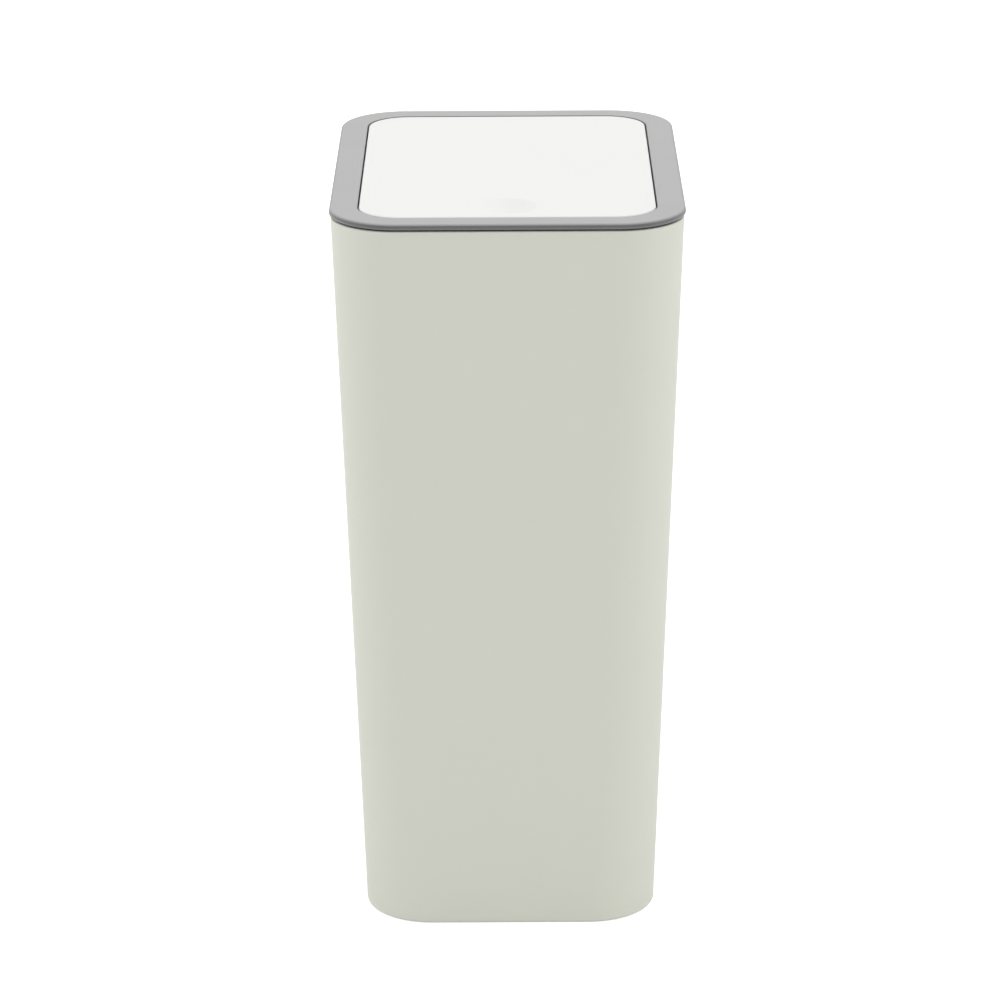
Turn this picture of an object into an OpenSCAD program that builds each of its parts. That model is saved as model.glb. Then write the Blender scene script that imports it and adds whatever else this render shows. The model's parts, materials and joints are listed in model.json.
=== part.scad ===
// Push-top countertop bin: a tapered pail, a drop-in lid frame, and a flush sprung lid
// that is pressed at the front to release its latch. Sizes are in millimetres.
// X runs left to right, Y from the front to the back, and Z up from the worktop.

/* [Overall] */
// Width over the rim bezel
rim_w = 150; // [130:1:200]
// Depth over the rim bezel
rim_d = 204; // [180:1:260]
// Corner radius of the bezel, seen from above
rim_r = 28; // [24:0.5:34]
// Height of the closed bin
overall_h = 321; // [260:1:420]

/* [Pail] */
// How far the bezel overhangs the pail on each side
overhang = 0.65; // [0.4:0.05:1.2]
// How much the pail narrows on each side, from mouth to base
draft = 10.45; // [6:0.05:14]
// Corner radius of the pail, the same from mouth to base
pail_r = 29.3; // [25:0.1:34]
// Thickness of the pail's wall
wall = 2; // [1.6:0.1:2.6]
// Thickness of the pail's floor
floor_t = 2.5; // [2:0.1:4]
// Height of the recess under the floor
recess_h = 1.5; // [1:0.1:3]
// Width of the ring that the pail stands on
foot_w = 5; // [4:0.5:9]
// Rounding of the pail's bottom edge
base_round = 1.5; // [0.8:0.1:2.5]
// Rounding of the pail's top outer edge
mouth_round = 0.6; // [0.3:0.05:0.75]
// Height of the lower end of the stacking ribs
rib_low = 217; // [120:1:225]
// Length of the stacking ribs
rib_len = 58; // [30:1:62]
// How far the stacking ribs stand in from the wall
rib_in = 4; // [2:0.5:6]
// Thickness of the moulded ribs
rib_t = 1.6; // [1.2:0.1:2.2]

/* [Bezel] */
// Width of the bezel's flat border
border = 11.6; // [11:0.1:14]
// Corner radius of the lid opening
opening_r = 18.9; // [15:0.1:22]
// Thickness of the bezel at its outer edge
bezel_edge = 2.4; // [2:0.1:3.2]
// Thickness of the bezel's top plate
bezel_t = 1.6; // [1.4:0.1:1.8]
// Thickness of the bezel's turned-down lips
lip_t = 1.6; // [1.4:0.1:1.8]
// Depth of the lip around the lid opening
inner_lip = 4.5; // [3:0.1:4.6]
// Rounding of the bezel's outer top edge
bezel_round = 1.6; // [0.6:0.1:1.8]
// Rounding of the bezel's outer lower edge
bezel_under = 0.5; // [0.2:0.1:0.8]
// Dark gap between the bezel and the pail
shadow_gap = 0.8; // [0.5:0.1:1.2]
// Width of a bezel clip
clip_w = 6; // [4:0.5:9]
// Reach of a bezel clip below the chassis flange
clip_drop = 2.2; // [1.6:0.1:3]

/* [Chassis] */
// Thickness of the chassis walls
chassis_t = 1.8; // [1.5:0.1:2.2]
// Depth of the skirt that drops into the pail
skirt_h = 18; // [14:1:30]
// Depth of the wall around the lid opening, from the top
well_h = 14; // [13:0.5:22]
// Clearance between the skirt and the pail
mouth_gap = 0.5; // [0.3:0.05:0.9]
// Width of the shelves that carry the springs and stop the lid
shelf_in = 12; // [10:0.5:12.5]
// Length of the shelves
shelf_len = 15; // [13:0.5:18]
// Thickness of the shelves
shelf_t = 9; // [6:0.5:12]

/* [Lid] */
// Clearance around the lid
lid_gap = 0.9; // [0.7:0.05:1.3]
// Thickness of the lid cover's top
cover_t = 2.2; // [2:0.1:2.6]
// Height of the lid cover's edge
cover_h = 9; // [8.5:0.1:10]
// Thickness of the lid cover's edge
cover_wall = 1.8; // [1.5:0.1:2.2]
// Rounding of the lid cover's top edge
cover_round = 0.8; // [0.4:0.1:1.2]
// Diameter of the finger dish
dish_d = 26; // [18:1:32]
// Depth of the finger dish
dish_depth = 1.2; // [0.6:0.1:1.4]
// Distance from the lid's front edge to the dish centre
dish_back = 17.6; // [17:0.1:24]
// Thickness of the carrier plate under the cover
carrier_t = 2; // [1.6:0.1:2.4]
// Height of the stiffening ribs under the carrier
carrier_rib = 2.2; // [1:0.1:2.3]

/* [Hinge] */
// Distance from the lid's back edge to the hinge axis
hinge_in = 37; // [32:0.5:44]
// Depth of the hinge axis below the lid's top
hinge_down = 6.5; // [6.2:0.1:6.6]
// Diameter of the hinge pins
pin_d = 3; // [2.5:0.1:3.2]
// Length of a hinge pin's shank
pin_len = 24; // [23.5:0.1:24.5]
// Radius of the lid's hinge barrels
barrel_r = 4; // [3.6:0.1:4]
// How far the lid opens, in degrees
open_angle = 78; // [70:1:85]
// How far the lid can be pressed in, in degrees
press_angle = 1.2; // [0.8:0.05:1.4]
// Radial clearance of the pins in their bores
running = 0.05; // [0.02:0.01:0.09]
// Wire diameter of the torsion springs
spring_wire = 0.9; // [0.7:0.05:0.9]
// Mean diameter of the torsion springs
spring_d = 5.4; // [5:0.1:5.8]
// Pitch of the torsion springs' turns
spring_pitch = 1.4; // [1.35:0.01:1.42]
// Whole turns of the torsion springs
spring_turns = 4; // [3:1:4]

/* [Latch] */
// Distance from the lid's front edge back to the striker
striker_back = 6.5; // [6:0.1:7.5]
// Width of the latch housing
housing_w = 18; // [17:0.5:22]
// Height of the latch housing
housing_h = 25; // [24:0.5:30]
// Thickness of the housing's walls
housing_t = 1.8; // [1.5:0.1:2]
// Width of the plunger
plunger_w = 13; // [12:0.1:13.2]
// Depth of the plunger, front to back
plunger_d = 8.4; // [8:0.1:8.8]
// Sliding clearance of the plunger
slide_gap = 0.3; // [0.2:0.05:0.4]
// Width of the striker's neck
neck_w = 3; // [2.4:0.1:3.4]
// Width of the striker's head
head_w = 6.4; // [5.6:0.1:6.8]
// Height of the striker's head
head_h = 2.6; // [2:0.1:3]
// Thickness of the jaws' hooks
hook_t = 1.6; // [1.2:0.1:2]
// Wire diameter of the plunger spring
coil_wire = 0.6; // [0.5:0.05:0.7]
// Mean diameter of the plunger spring
coil_d = 4.2; // [3.8:0.1:4.4]
// Turns of the plunger spring
coil_turns = 8; // [6:1:8]
// Diameter of the cam wire
cam_wire_d = 0.8; // [0.6:0.05:0.9]

/* [Screws] */
// Diameter of the screws' shanks
screw_d = 2.5; // [2.2:0.1:2.6]
// Diameter of the screws' heads
screw_head_d = 5.2; // [4.6:0.1:5.4]
// Height of the pan heads
screw_head_h = 1.6; // [1.2:0.1:1.8]

/* [Hidden] */
$fn = 48;
corner_steps = 12;
sweep_sides = 6;
steps_a_turn = 8;
over = 1;
seat = 0.3;
tiny = 0.1;

pail_colour = [0.80, 0.80, 0.755];
rim_colour = [0.74, 0.74, 0.745];
chassis_colour = [0.13, 0.13, 0.135];
lid_colour = [0.95, 0.95, 0.94];
latch_colour = [0.20, 0.20, 0.21];
steel_colour = [0.72, 0.73, 0.75];

// Pail sizes at its mouth and base
pail_h = overall_h - bezel_edge - shadow_gap;
mouth_w = rim_w - 2 * overhang;
mouth_d = rim_d - 2 * overhang;
floor_top = recess_h + floor_t;
inner_round = 3;

// The bezel's top rounding, held to what its edge leaves
bezel_roll = min(bezel_round, bezel_edge - bezel_under - tiny);

// Heights of the frame and lid, from the worktop
bezel_low = overall_h - bezel_edge;
flange_top = overall_h - bezel_t;
well_low = overall_h - well_h;
cover_low = overall_h - cover_h;
cover_under = overall_h - cover_t;
hinge_z = overall_h - hinge_down;
carrier_up = 0.9;
carrier_mid = hinge_z + carrier_up;
carrier_low = carrier_mid - carrier_t / 2;
carrier_top = carrier_mid + carrier_t / 2;

// The opening, the well of the chassis, and the lid that lies in them
opening_w = rim_w - 2 * border;
opening_d = rim_d - 2 * border;
lip_gap = 0.1;
well_w = opening_w + 2 * (lip_t + lip_gap);
well_d = opening_d + 2 * (lip_t + lip_gap);
well_r = opening_r + lip_t + lip_gap;
lid_w = opening_w - 2 * lid_gap;
lid_d = opening_d - 2 * lid_gap;
lid_r = opening_r - lid_gap;
carrier_gap = 0.3;
carrier_in = cover_wall + carrier_gap;
hinge_y = lid_d / 2 - hinge_in;

// The chassis flange under the bezel
flange_in = lip_t + seat;
flange_w = rim_w - 2 * flange_in;
flange_d = rim_d - 2 * flange_in;
flange_r = rim_r - flange_in;
skirt_low = pail_h - skirt_h;

// The lid's travel at the striker and at its front edge
striker_y = -lid_d / 2 + striker_back;
striker_arm = hinge_y - striker_y;
striker_drop = striker_arm * sin(press_angle);
front_drop = (hinge_y + lid_d / 2) * sin(press_angle);

// Hinge stations along X, from the pail's wall inwards
skirt_face = inner_half_w(pail_h) - mouth_gap;
pin_head_lip = 1.2;
pin_head_r = pin_d / 2 + pin_head_lip;
pin_head_t = 1;
pin_tip = skirt_face - pin_head_t - pin_len;
barrel_gap = 0.4;
barrel_out = opening_w / 2 - barrel_gap;
barrel_len = 4.8;
coil_room = 8.4;
inner_barrel_len = 3;
coil_out = barrel_out - barrel_len;
coil_in = coil_out - coil_room;
bore_r = pin_d / 2 + running;

// The spring shelves, whose back faces also stop the open lid
leg_slope = 12;
fixed_leg = 15;
moving_leg = 15;
leg_gap = 0.05;
leg_fall = spring_d / 2 * cos(leg_slope) + fixed_leg * sin(leg_slope);
shelf_top = hinge_z - leg_fall - spring_wire / 2 - leg_gap;
stop_fall = hinge_z - shelf_top;
stop_reach = (hinge_z - cover_low + seat - stop_fall * cos(open_angle)) / sin(open_angle);
shelf_back = hinge_y - stop_reach;
press_stop_top = cover_low - front_drop - seat;
press_stop_x = 38;
press_stop_w = 10;
press_stop_t = 3;
shelf_plate = 2;

// Latch heights and depths
striker_base_t = 2.2;
striker_base_w = 18;
striker_base_d = 8;
striker_low = carrier_low - striker_base_t;
press_room = 0.8;
grip_gap = 0.4;
plunger_body = 12;
housing_top = striker_low - striker_drop - press_room;
housing_low = housing_top - housing_h;
jaw_top = housing_top - seat;
head_top = jaw_top - hook_t - grip_gap;
head_low = head_top - head_h;
plunger_seat = head_low - grip_gap;
plunger_low = plunger_seat - plunger_body;
housing_floor = housing_low + housing_t;
cavity_w = plunger_w + 2 * slide_gap;
cavity_d = plunger_d + 2 * slide_gap;
cavity_front = striker_y - cavity_d / 2;
cavity_back = striker_y + cavity_d / 2;
well_front = -well_d / 2;
jaw_t = 2;
hook_gap = 0.4;
spring_hole_r = coil_d / 2 + coil_wire / 2 + seat;
seat_wall = 4;
spring_hole_top = plunger_seat - seat_wall;
ear_t = 2.4;
ear_w = 7.5;
ear_h = 10;
ear_up = 11;
ear_z = housing_low + ear_up;
latch_screw_x = housing_w / 2 + ear_w / 2;
seat_margin = 1.5;
seat_plate_w = housing_w + 2 * (ear_w + seat_margin);
seat_plate_low = housing_low - 1;
boss_r = 3;
pilot_r = screw_d / 2 + 0.05;
clear_r = screw_d / 2 + 0.35;
latch_boss_len = 3.1;
cam_slot_w = 4.4;
cam_slot_d = cam_wire_d + 2 * seat;
cam_up = 3;
cam_reach = 9.6;
cam_low = housing_floor + cam_up;
cam_high = cam_low + cam_reach;
cam_eye_len = 1.6;
cam_groove = 1;
cam_y = cavity_front - cam_slot_d / 2;

// Screw places under the lid, as X and Y
screw_inset = 15;
mid_screw_in = 50;
front_screw_in = 24;
lid_screw_x = lid_w / 2 - screw_inset;
lid_screw_rows = [lid_d / 2 - screw_inset, hinge_y - mid_screw_in, striker_y + front_screw_in];
striker_screw_x = 6;
lid_screw_len = 4.5;
striker_screw_len = 4.6;
striker_boss_top = cover_under - dish_depth - seat;
cross_w = 0.8;
cross_depth = 0.8;

// Rib places under the carrier
long_rib_x = 21;
front_rib_in = 14;
mid_rib_in = 66;
hinge_rib_in = 24;
cross_ribs = [striker_y + front_rib_in, hinge_y - mid_rib_in, hinge_y - hinge_rib_in,
              hinge_y + hinge_rib_in];

// Web places between the well and the skirt, at the sides and at the ends
web_end_in = 34.5;
web_mid_in = 20.5;
web_hinge_in = 26;
web_side_in = 28.5;
side_webs = [web_end_in - rim_d / 2, -web_mid_in, hinge_y - web_hinge_in];
end_webs = [web_side_in - rim_w / 2, 0, rim_w / 2 - web_side_in];
web_up = 2;

// Clip places along the sides and along the front and back
front_clip_in = 98;
back_clip_in = 46;
end_clip_in = 42;
side_clips = [hinge_y - front_clip_in, hinge_y - back_clip_in];
end_clips = [end_clip_in - rim_w / 2, rim_w / 2 - end_clip_in];
clip_t = 1.1;
clip_hook = 0.5;

// Half the width and depth of the pail's outside and inside at height z
function outer_w(z) = mouth_w - 2 * draft * (1 - z / pail_h);
function outer_d(z) = mouth_d - 2 * draft * (1 - z / pail_h);
function inner_half_w(z) = outer_w(z) / 2 - wall;
function inner_half_d(z) = outer_d(z) / 2 - wall;

// One ring of points around a rounded rectangle, anticlockwise from above
function ring(w, d, r, z) = [
    for (q = [0:3], k = [0:corner_steps])
        let (a = 90 * q + 90 * k / corner_steps,
             x = (q == 0 || q == 3) ? 1 : -1,
             y = q < 2 ? 1 : -1)
        [x * (w / 2 - r) + r * cos(a), y * (d / 2 - r) + r * sin(a), z]];

// A pail ring at height z, moved inwards by inset
function pail_ring(z, inset, h = undef) =
    ring(outer_w(is_undef(h) ? z : h) - 2 * inset, outer_d(is_undef(h) ? z : h) - 2 * inset,
         pail_r - inset, z);

// One ring of a rounded edge of radius edge, at angle a above the edge's centre at height z
function round_ring(w, d, r, z, edge, a) =
    ring(w - 2 * edge * (1 - cos(a)), d - 2 * edge * (1 - cos(a)),
         r - edge * (1 - cos(a)), z + edge * sin(a));

// A skin through rings of equal length, capped at both ends or closed on itself
module skin(rings, closed = false) {
    n = len(rings[0]);
    m = len(rings);
    rows = closed ? m : m - 1;
    sides = [for (i = [0:rows - 1], j = [0:n - 1])
        let (a = i * n + j, b = i * n + (j + 1) % n,
             c = ((i + 1) % m) * n + (j + 1) % n, d = ((i + 1) % m) * n + j)
        each [[a, d, c], [a, c, b]]];
    caps = closed ? [] : [[for (j = [0:n - 1]) j], [for (j = [n - 1:-1:0]) (m - 1) * n + j]];
    polyhedron([for (r = rings) each r], concat(sides, caps), convexity = 6);
}

// A wire of radius r swept along a path; up is a direction that the path never follows
module wire(path, r, up) {
    n = len(path);
    function unit(v) = v / norm(v);
    function along(i) = unit(path[min(i + 1, n - 1)] - path[max(i - 1, 0)]);
    rings = [for (i = [0:n - 1])
        let (t = along(i), s = unit(cross(t, up)), u = cross(s, t))
        [for (k = [0:sweep_sides - 1])
            let (a = 360 * k / sweep_sides) path[i] + r * (cos(a) * s + sin(a) * u)]];
    skin(rings);
}

// Least gap between turns of a coiled path, measured between points over half a turn apart
function least_gap(path, d) = min([
    for (i = [0:len(path) - 1], j = [i + steps_a_turn / 2:1:len(path) - 1])
        norm(path[i] - path[j])]) - d;

// A pan-head screw along +Z whose head lies below z = 0
module pan_screw(length) {
    color(steel_colour)
    difference() {
        union() {
            cylinder(h = length, d = screw_d);
            translate([0, 0, -screw_head_h]) cylinder(h = screw_head_h, d = screw_head_d);
        }
        for (a = [0, 90]) rotate(a)
            translate([-screw_d / 2, -cross_w / 2, -screw_head_h - over])
                cube([screw_d, cross_w, cross_depth + over]);
    }
}

// A countersunk screw along +Z whose flat head lies flush with z = 0
module flat_screw(length) {
    head_h = (screw_head_d - screw_d) / 2;
    color(steel_colour)
    difference() {
        union() {
            cylinder(h = length, d = screw_d);
            cylinder(h = head_h, d1 = screw_head_d, d2 = screw_d);
        }
        for (a = [0, 90]) rotate(a)
            translate([-screw_d / 2, -cross_w / 2, -over])
                cube([screw_d, cross_w, cross_depth + over]);
    }
}

// A cylinder along +X from x0 to x1
module rod_x(x0, x1, r, y, z) {
    translate([x0, y, z]) rotate([0, 90, 0]) cylinder(h = x1 - x0, r = r);
}

// A cylinder along +Y from y0 to y1
module rod_y(y0, y1, r, x, z) {
    translate([x, y1, z]) rotate([90, 0, 0]) cylinder(h = y1 - y0, r = r);
}

// A box from its lowest corner to its highest
module box(low, high) {
    translate(low) cube(high - low);
}

// What is drawn for the right side, and its mirror image for the left
module both_sides() {
    children();
    mirror([1, 0, 0]) children();
}

// The pail: tapered walls, a raised floor, a standing ring and stacking ribs
module pail() {
    color(pail_colour)
    union() {
        skin([
            pail_ring(recess_h, foot_w + 0.4, 0),
            pail_ring(0, foot_w, 0),
            for (a = [0:30:90])
                pail_ring(base_round * (1 - cos(a)), base_round * (1 - sin(a))),
            for (a = [0:30:90])
                pail_ring(pail_h - mouth_round * (1 - sin(a)), mouth_round * (1 - cos(a))),
            pail_ring(pail_h, wall),
            for (a = [0:30:90])
                pail_ring(floor_top + inner_round * (1 - sin(a)),
                          wall + inner_round * (1 - cos(a)))
        ]);
        both_sides() stacking_rib(inner_half_w(rib_low), inner_half_w(rib_low + rib_len));
        for (turn = [90, -90]) rotate(turn)
            stacking_rib(inner_half_d(rib_low), inner_half_d(rib_low + rib_len));
    }
}

// One stacking rib, on the wall whose inner face is at low and high at its two ends
module stacking_rib(low, high) {
    rotate([90, 0, 0])
    translate([0, 0, -rib_t / 2])
    linear_extrude(rib_t)
        polygon([[low + wall / 2, rib_low], [low - tiny, rib_low],
                 [low - rib_in, rib_low + 2 * rib_in], [low - rib_in, rib_low + rib_len],
                 [high + wall / 2, rib_low + rib_len]]);
}

// The visible rim: a flat border with a rounded outer edge, two lips and its clips
module rim_bezel() {
    lip_w = rim_w - 2 * lip_t;
    lip_d = rim_d - 2 * lip_t;
    edge = 0.3;
    under = bezel_under;
    color(rim_colour)
    union() {
        skin([
            ring(lip_w, lip_d, rim_r - lip_t, bezel_low),
            for (a = [-90:30:0]) round_ring(rim_w, rim_d, rim_r, bezel_low + under, under, a),
            for (a = [0:18:90])
                round_ring(rim_w, rim_d, rim_r, overall_h - bezel_roll, bezel_roll, a),
            ring(opening_w + 2 * edge, opening_d + 2 * edge, opening_r + edge, overall_h),
            ring(opening_w, opening_d, opening_r, overall_h - edge),
            ring(opening_w, opening_d, opening_r, overall_h - inner_lip),
            ring(opening_w + 2 * lip_t, opening_d + 2 * lip_t, opening_r + lip_t,
                 overall_h - inner_lip),
            ring(opening_w + 2 * lip_t, opening_d + 2 * lip_t, opening_r + lip_t, flange_top),
            ring(lip_w, lip_d, rim_r - lip_t, flange_top)
        ], closed = true);
        both_sides() for (y = side_clips) translate([clip_at_x(), y, 0]) bezel_clip();
        for (x = end_clips, s = [-1, 1])
            translate([x, s * clip_at_y(), 0]) rotate(90 * s) bezel_clip();
    }
}

// The middle of the trough between the chassis's two walls, at the sides and at the ends
function trough_in(well) = well / 2 + chassis_t;
function clip_at_x() = (trough_in(well_w) + skirt_face - chassis_t) / 2;
function clip_at_y() = (trough_in(well_d) + inner_half_d(pail_h) - mouth_gap - chassis_t) / 2;

// One clip, hanging from the bezel's plate, with its hook towards +X
module bezel_clip() {
    low = pail_h - clip_drop;
    rotate([90, 0, 0])
    translate([0, 0, -clip_w / 2])
    linear_extrude(clip_w)
        polygon([[-clip_t / 2, flange_top + bezel_t / 2], [-clip_t / 2, low],
                 [clip_t / 2, low], [clip_t / 2 + clip_hook, pail_h - clip_drop / 2],
                 [clip_t / 2 + clip_hook, pail_h - seat / 2], [clip_t / 2, pail_h - seat / 2],
                 [clip_t / 2, flange_top + bezel_t / 2]]);
}

// The slot that a clip passes through
module clip_slot() {
    box([-clip_t / 2 - 0.35, -clip_w / 2 - 0.3, pail_h - over],
        [clip_t / 2 + 0.2, clip_w / 2 + 0.3, flange_top + over]);
}

// The chassis: a flange on the pail's edge, a skirt in its mouth, the well for the lid,
// and the seats of the hinge, springs and latch
module inner_chassis() {
    color(chassis_colour)
    difference() {
        union() {
            chassis_channel();
            chassis_webs();
            both_sides() {
                rod_x(well_w / 2 + tiny, skirt_face - tiny, barrel_r + 0.5, hinge_y, hinge_z);
                spring_shelf();
                box([press_stop_x, well_front - tiny, press_stop_top - press_stop_t],
                    [press_stop_x + press_stop_w, -lid_d / 2 + cover_wall, press_stop_top]);
            }
            latch_seat();
        }
        both_sides() {
            rod_x(well_w / 2 - over, skirt_face + over, bore_r, hinge_y, hinge_z);
            rod_x(skirt_face - pin_head_t - tiny, skirt_face + over, pin_head_r + 0.2,
                  hinge_y, hinge_z);
            for (y = side_clips) translate([clip_at_x(), y, 0]) clip_slot();
        }
        for (x = end_clips, s = [-1, 1])
            translate([x, s * clip_at_y(), 0]) rotate(90 * s) clip_slot();
        for (s = [-1, 1])
            rod_y(well_front - chassis_t - latch_boss_len + 0.6, well_front + over, pilot_r,
                  s * latch_screw_x, ear_z);
    }
}

// The chassis's inverted channel, as one closed skin
module chassis_channel() {
    inner_in = wall + mouth_gap;
    thick_in = inner_in + chassis_t;
    out_w = well_w + 2 * chassis_t;
    out_d = well_d + 2 * chassis_t;
    skin([
        pail_ring(skirt_low, thick_in),
        pail_ring(skirt_low, inner_in),
        pail_ring(pail_h, inner_in),
        ring(flange_w, flange_d, flange_r, pail_h),
        ring(flange_w, flange_d, flange_r, flange_top),
        ring(well_w, well_d, well_r, flange_top),
        ring(well_w, well_d, well_r, well_low),
        ring(out_w, out_d, well_r + chassis_t, well_low),
        ring(out_w, out_d, well_r + chassis_t, pail_h),
        pail_ring(pail_h, thick_in)
    ], closed = true);
}

// Webs that tie the well to the skirt
module chassis_webs() {
    web_low = well_low + web_up;
    reach_x = inner_half_w(web_low) - mouth_gap - tiny;
    reach_y = inner_half_d(web_low) - mouth_gap - tiny;
    both_sides()
        for (y = side_webs)
            box([well_w / 2 + tiny, y - rib_t / 2, web_low],
                [reach_x, y + rib_t / 2, flange_top - tiny]);
    for (x = end_webs, s = [-1, 1])
        scale_y(s) box([x - rib_t / 2, well_d / 2 + tiny, web_low],
                       [x + rib_t / 2, reach_y, flange_top - tiny]);
}

// The child itself for s = 1, and its mirror image from front to back for s = -1
module scale_y(s) {
    if (s > 0) children();
    else mirror([0, 1, 0]) children();
}

// One spring shelf, on a tab that hangs from the side of the well
module spring_shelf() {
    tab_low = shelf_top - shelf_t;
    front = shelf_back - shelf_len;
    box([well_w / 2, front, tab_low], [well_w / 2 + chassis_t, shelf_back, well_low + tiny]);
    box([well_w / 2 - shelf_in, front, shelf_top - shelf_plate],
        [well_w / 2 + tiny, shelf_back, shelf_top]);
    for (y = [front, shelf_back - rib_t])
        translate([0, y + rib_t, 0]) rotate([90, 0, 0]) linear_extrude(rib_t)
            polygon([[well_w / 2 + tiny, shelf_top - tiny],
                     [well_w / 2 - shelf_in, shelf_top - tiny],
                     [well_w / 2 - shelf_in, shelf_top - shelf_plate],
                     [well_w / 2 + tiny, tab_low]]);
}

// The plate and bosses that carry the latch at the front of the well
module latch_seat() {
    box([-seat_plate_w / 2, well_front - chassis_t, seat_plate_low],
        [seat_plate_w / 2, well_front, well_low + tiny]);
    for (s = [-1, 1]) {
        rod_y(well_front - chassis_t - latch_boss_len, well_front - tiny, boss_r,
              s * latch_screw_x, ear_z);
        box([s * seat_plate_w / 2 - rib_t / 2, well_front - chassis_t - 2, seat_plate_low],
            [s * seat_plate_w / 2 + rib_t / 2, well_front, well_low + tiny]);
    }
}

// The lid's white cover: a shallow tray with its edge turned down and a finger dish
module lid_cover() {
    dish_r = (dish_d * dish_d / 4 + dish_depth * dish_depth) / (2 * dish_depth);
    boss_low = carrier_top;
    color(lid_colour)
    difference() {
        union() {
            skin([
                ring(lid_w - 2 * cover_wall, lid_d - 2 * cover_wall, lid_r - cover_wall,
                     cover_under),
                ring(lid_w - 2 * cover_wall, lid_d - 2 * cover_wall, lid_r - cover_wall,
                     cover_low),
                ring(lid_w, lid_d, lid_r, cover_low),
                for (a = [0:22.5:90])
                    round_ring(lid_w, lid_d, lid_r, overall_h - cover_round, cover_round, a)
            ]);
            translate([0, -lid_d / 2 + dish_back, cover_under - dish_depth])
                cylinder(h = dish_depth + tiny, r = dish_d / 2);
            both_sides() {
                for (y = lid_screw_rows) translate([lid_screw_x, y, boss_low])
                    cylinder(h = cover_under - boss_low + tiny, r = boss_r);
                box([coil_in - 2, hinge_y - moving_leg - 2, leg_pad()],
                    [coil_in + 4, hinge_y - moving_leg + 6, cover_under + tiny]);
            }
        }
        translate([0, -lid_d / 2 + dish_back, overall_h - dish_depth + dish_r])
            sphere(r = dish_r, $fn = 180);
        both_sides() {
            for (y = lid_screw_rows) translate([lid_screw_x, y, boss_low - over])
                cylinder(h = over + lid_screw_len - carrier_t + 0.4, r = pilot_r);
            barrel_notch();
        }
    }
}

// Underside of the pad that the springs' moving legs push up
function leg_pad() = hinge_z + spring_d / 2 + spring_wire / 2 + 0.2;

// The notch in the cover's edge where a hinge barrel comes through
module barrel_notch() {
    notch_r = barrel_r + carrier_gap;
    rod_x(lid_w / 2 - cover_wall - over, lid_w / 2 + over, notch_r, hinge_y, hinge_z);
    box([lid_w / 2 - cover_wall - over, hinge_y - notch_r, cover_low - over],
        [lid_w / 2 + over, hinge_y + notch_r, hinge_z]);
}

// The carrier under the cover: a ribbed plate with the hinge barrels
module lid_carrier() {
    plate_w = lid_w - 2 * carrier_in;
    plate_d = lid_d - 2 * carrier_in;
    plate_r = lid_r - carrier_in;
    rib_z = carrier_low - carrier_rib;
    bead = 2;
    color(lid_colour)
    difference() {
        union() {
            skin([
                ring(plate_w - 2 * bead, plate_d - 2 * bead, plate_r - bead, carrier_low),
                ring(plate_w - 2 * bead, plate_d - 2 * bead, plate_r - bead, rib_z),
                ring(plate_w, plate_d, plate_r, rib_z),
                ring(plate_w, plate_d, plate_r, carrier_top)
            ]);
            for (x = [-long_rib_x, long_rib_x])
                box([x - rib_t / 2, striker_y + front_rib_in, rib_z],
                    [x + rib_t / 2, hinge_y + hinge_rib_in, carrier_mid]);
            for (y = cross_ribs)
                box([-lid_screw_x + screw_head_d, y - rib_t / 2, rib_z],
                    [lid_screw_x - screw_head_d, y + rib_t / 2, carrier_mid]);
            both_sides() {
                rod_x(coil_out, barrel_out, barrel_r, hinge_y, hinge_z);
                rod_x(coil_in - inner_barrel_len, coil_in, barrel_r, hinge_y, hinge_z);
                translate([striker_screw_x, striker_y, carrier_mid])
                    cylinder(h = striker_boss_top - carrier_mid, r = boss_r);
            }
        }
        both_sides() {
            rod_x(coil_in - inner_barrel_len - over, barrel_out + over, bore_r, hinge_y, hinge_z);
            box([coil_in, hinge_y - barrel_r - 0.4, rib_z - over],
                [coil_out, hinge_y + barrel_r + 0.4, overall_h]);
            striker_notch(rib_z);
            for (y = lid_screw_rows) translate([lid_screw_x, y, rib_z - over])
                cylinder(h = cover_h, r = clear_r);
            translate([striker_screw_x, striker_y, rib_z - over])
                cylinder(h = striker_boss_top - rib_z + 2 * over, r = pilot_r);
        }
    }
}

// Room in the carrier's bead for half of the striker's base
module striker_notch(rib_z) {
    box([-tiny, -lid_d / 2, rib_z - over],
        [striker_base_w / 2 + seat, striker_y + striker_base_d / 2 + seat, carrier_low]);
}

// The six screws that hold the carrier to the cover
module lid_screws() {
    both_sides() for (y = lid_screw_rows)
        translate([lid_screw_x, y, carrier_low]) pan_screw(lid_screw_len);
}

// One hinge pin on the right: a headed steel pin through the chassis and the barrels
module hinge_pin() {
    color(steel_colour)
    union() {
        rod_x(pin_tip, skirt_face - pin_head_t / 2, pin_d / 2, hinge_y, hinge_z);
        rod_x(skirt_face - pin_head_t, skirt_face, pin_head_r, hinge_y, hinge_z);
    }
}

// Path of the right-hand torsion spring: fixed leg, turns, then the leg under the lid
function torsion_path() = let (
    r = spring_d / 2,
    a0 = leg_slope - 90,
    a1 = 90 + 360 * spring_turns,
    x0 = coil_out - spring_wire / 2 - 0.3,
    run = (a1 - a0) / 360,
    n = round(run * steps_a_turn))
    [for (i = [2:-1:1]) let (s = fixed_leg * i / 2)
         [x0, hinge_y + r * cos(a0) - s * cos(leg_slope), hinge_z + r * sin(a0) - s * sin(leg_slope)],
     for (i = [0:n]) let (a = a0 + (a1 - a0) * i / n)
         [x0 - spring_pitch * run * i / n, hinge_y + r * cos(a), hinge_z + r * sin(a)],
     for (i = [1:2]) [x0 - spring_pitch * run, hinge_y - moving_leg * i / 2, hinge_z + r]];

module torsion_spring() {
    path = torsion_path();
    echo(torsion_spring_least_gap = least_gap(path, spring_wire));
    color(steel_colour) wire(path, spring_wire / 2, [1, 0, 0]);
}

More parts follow.
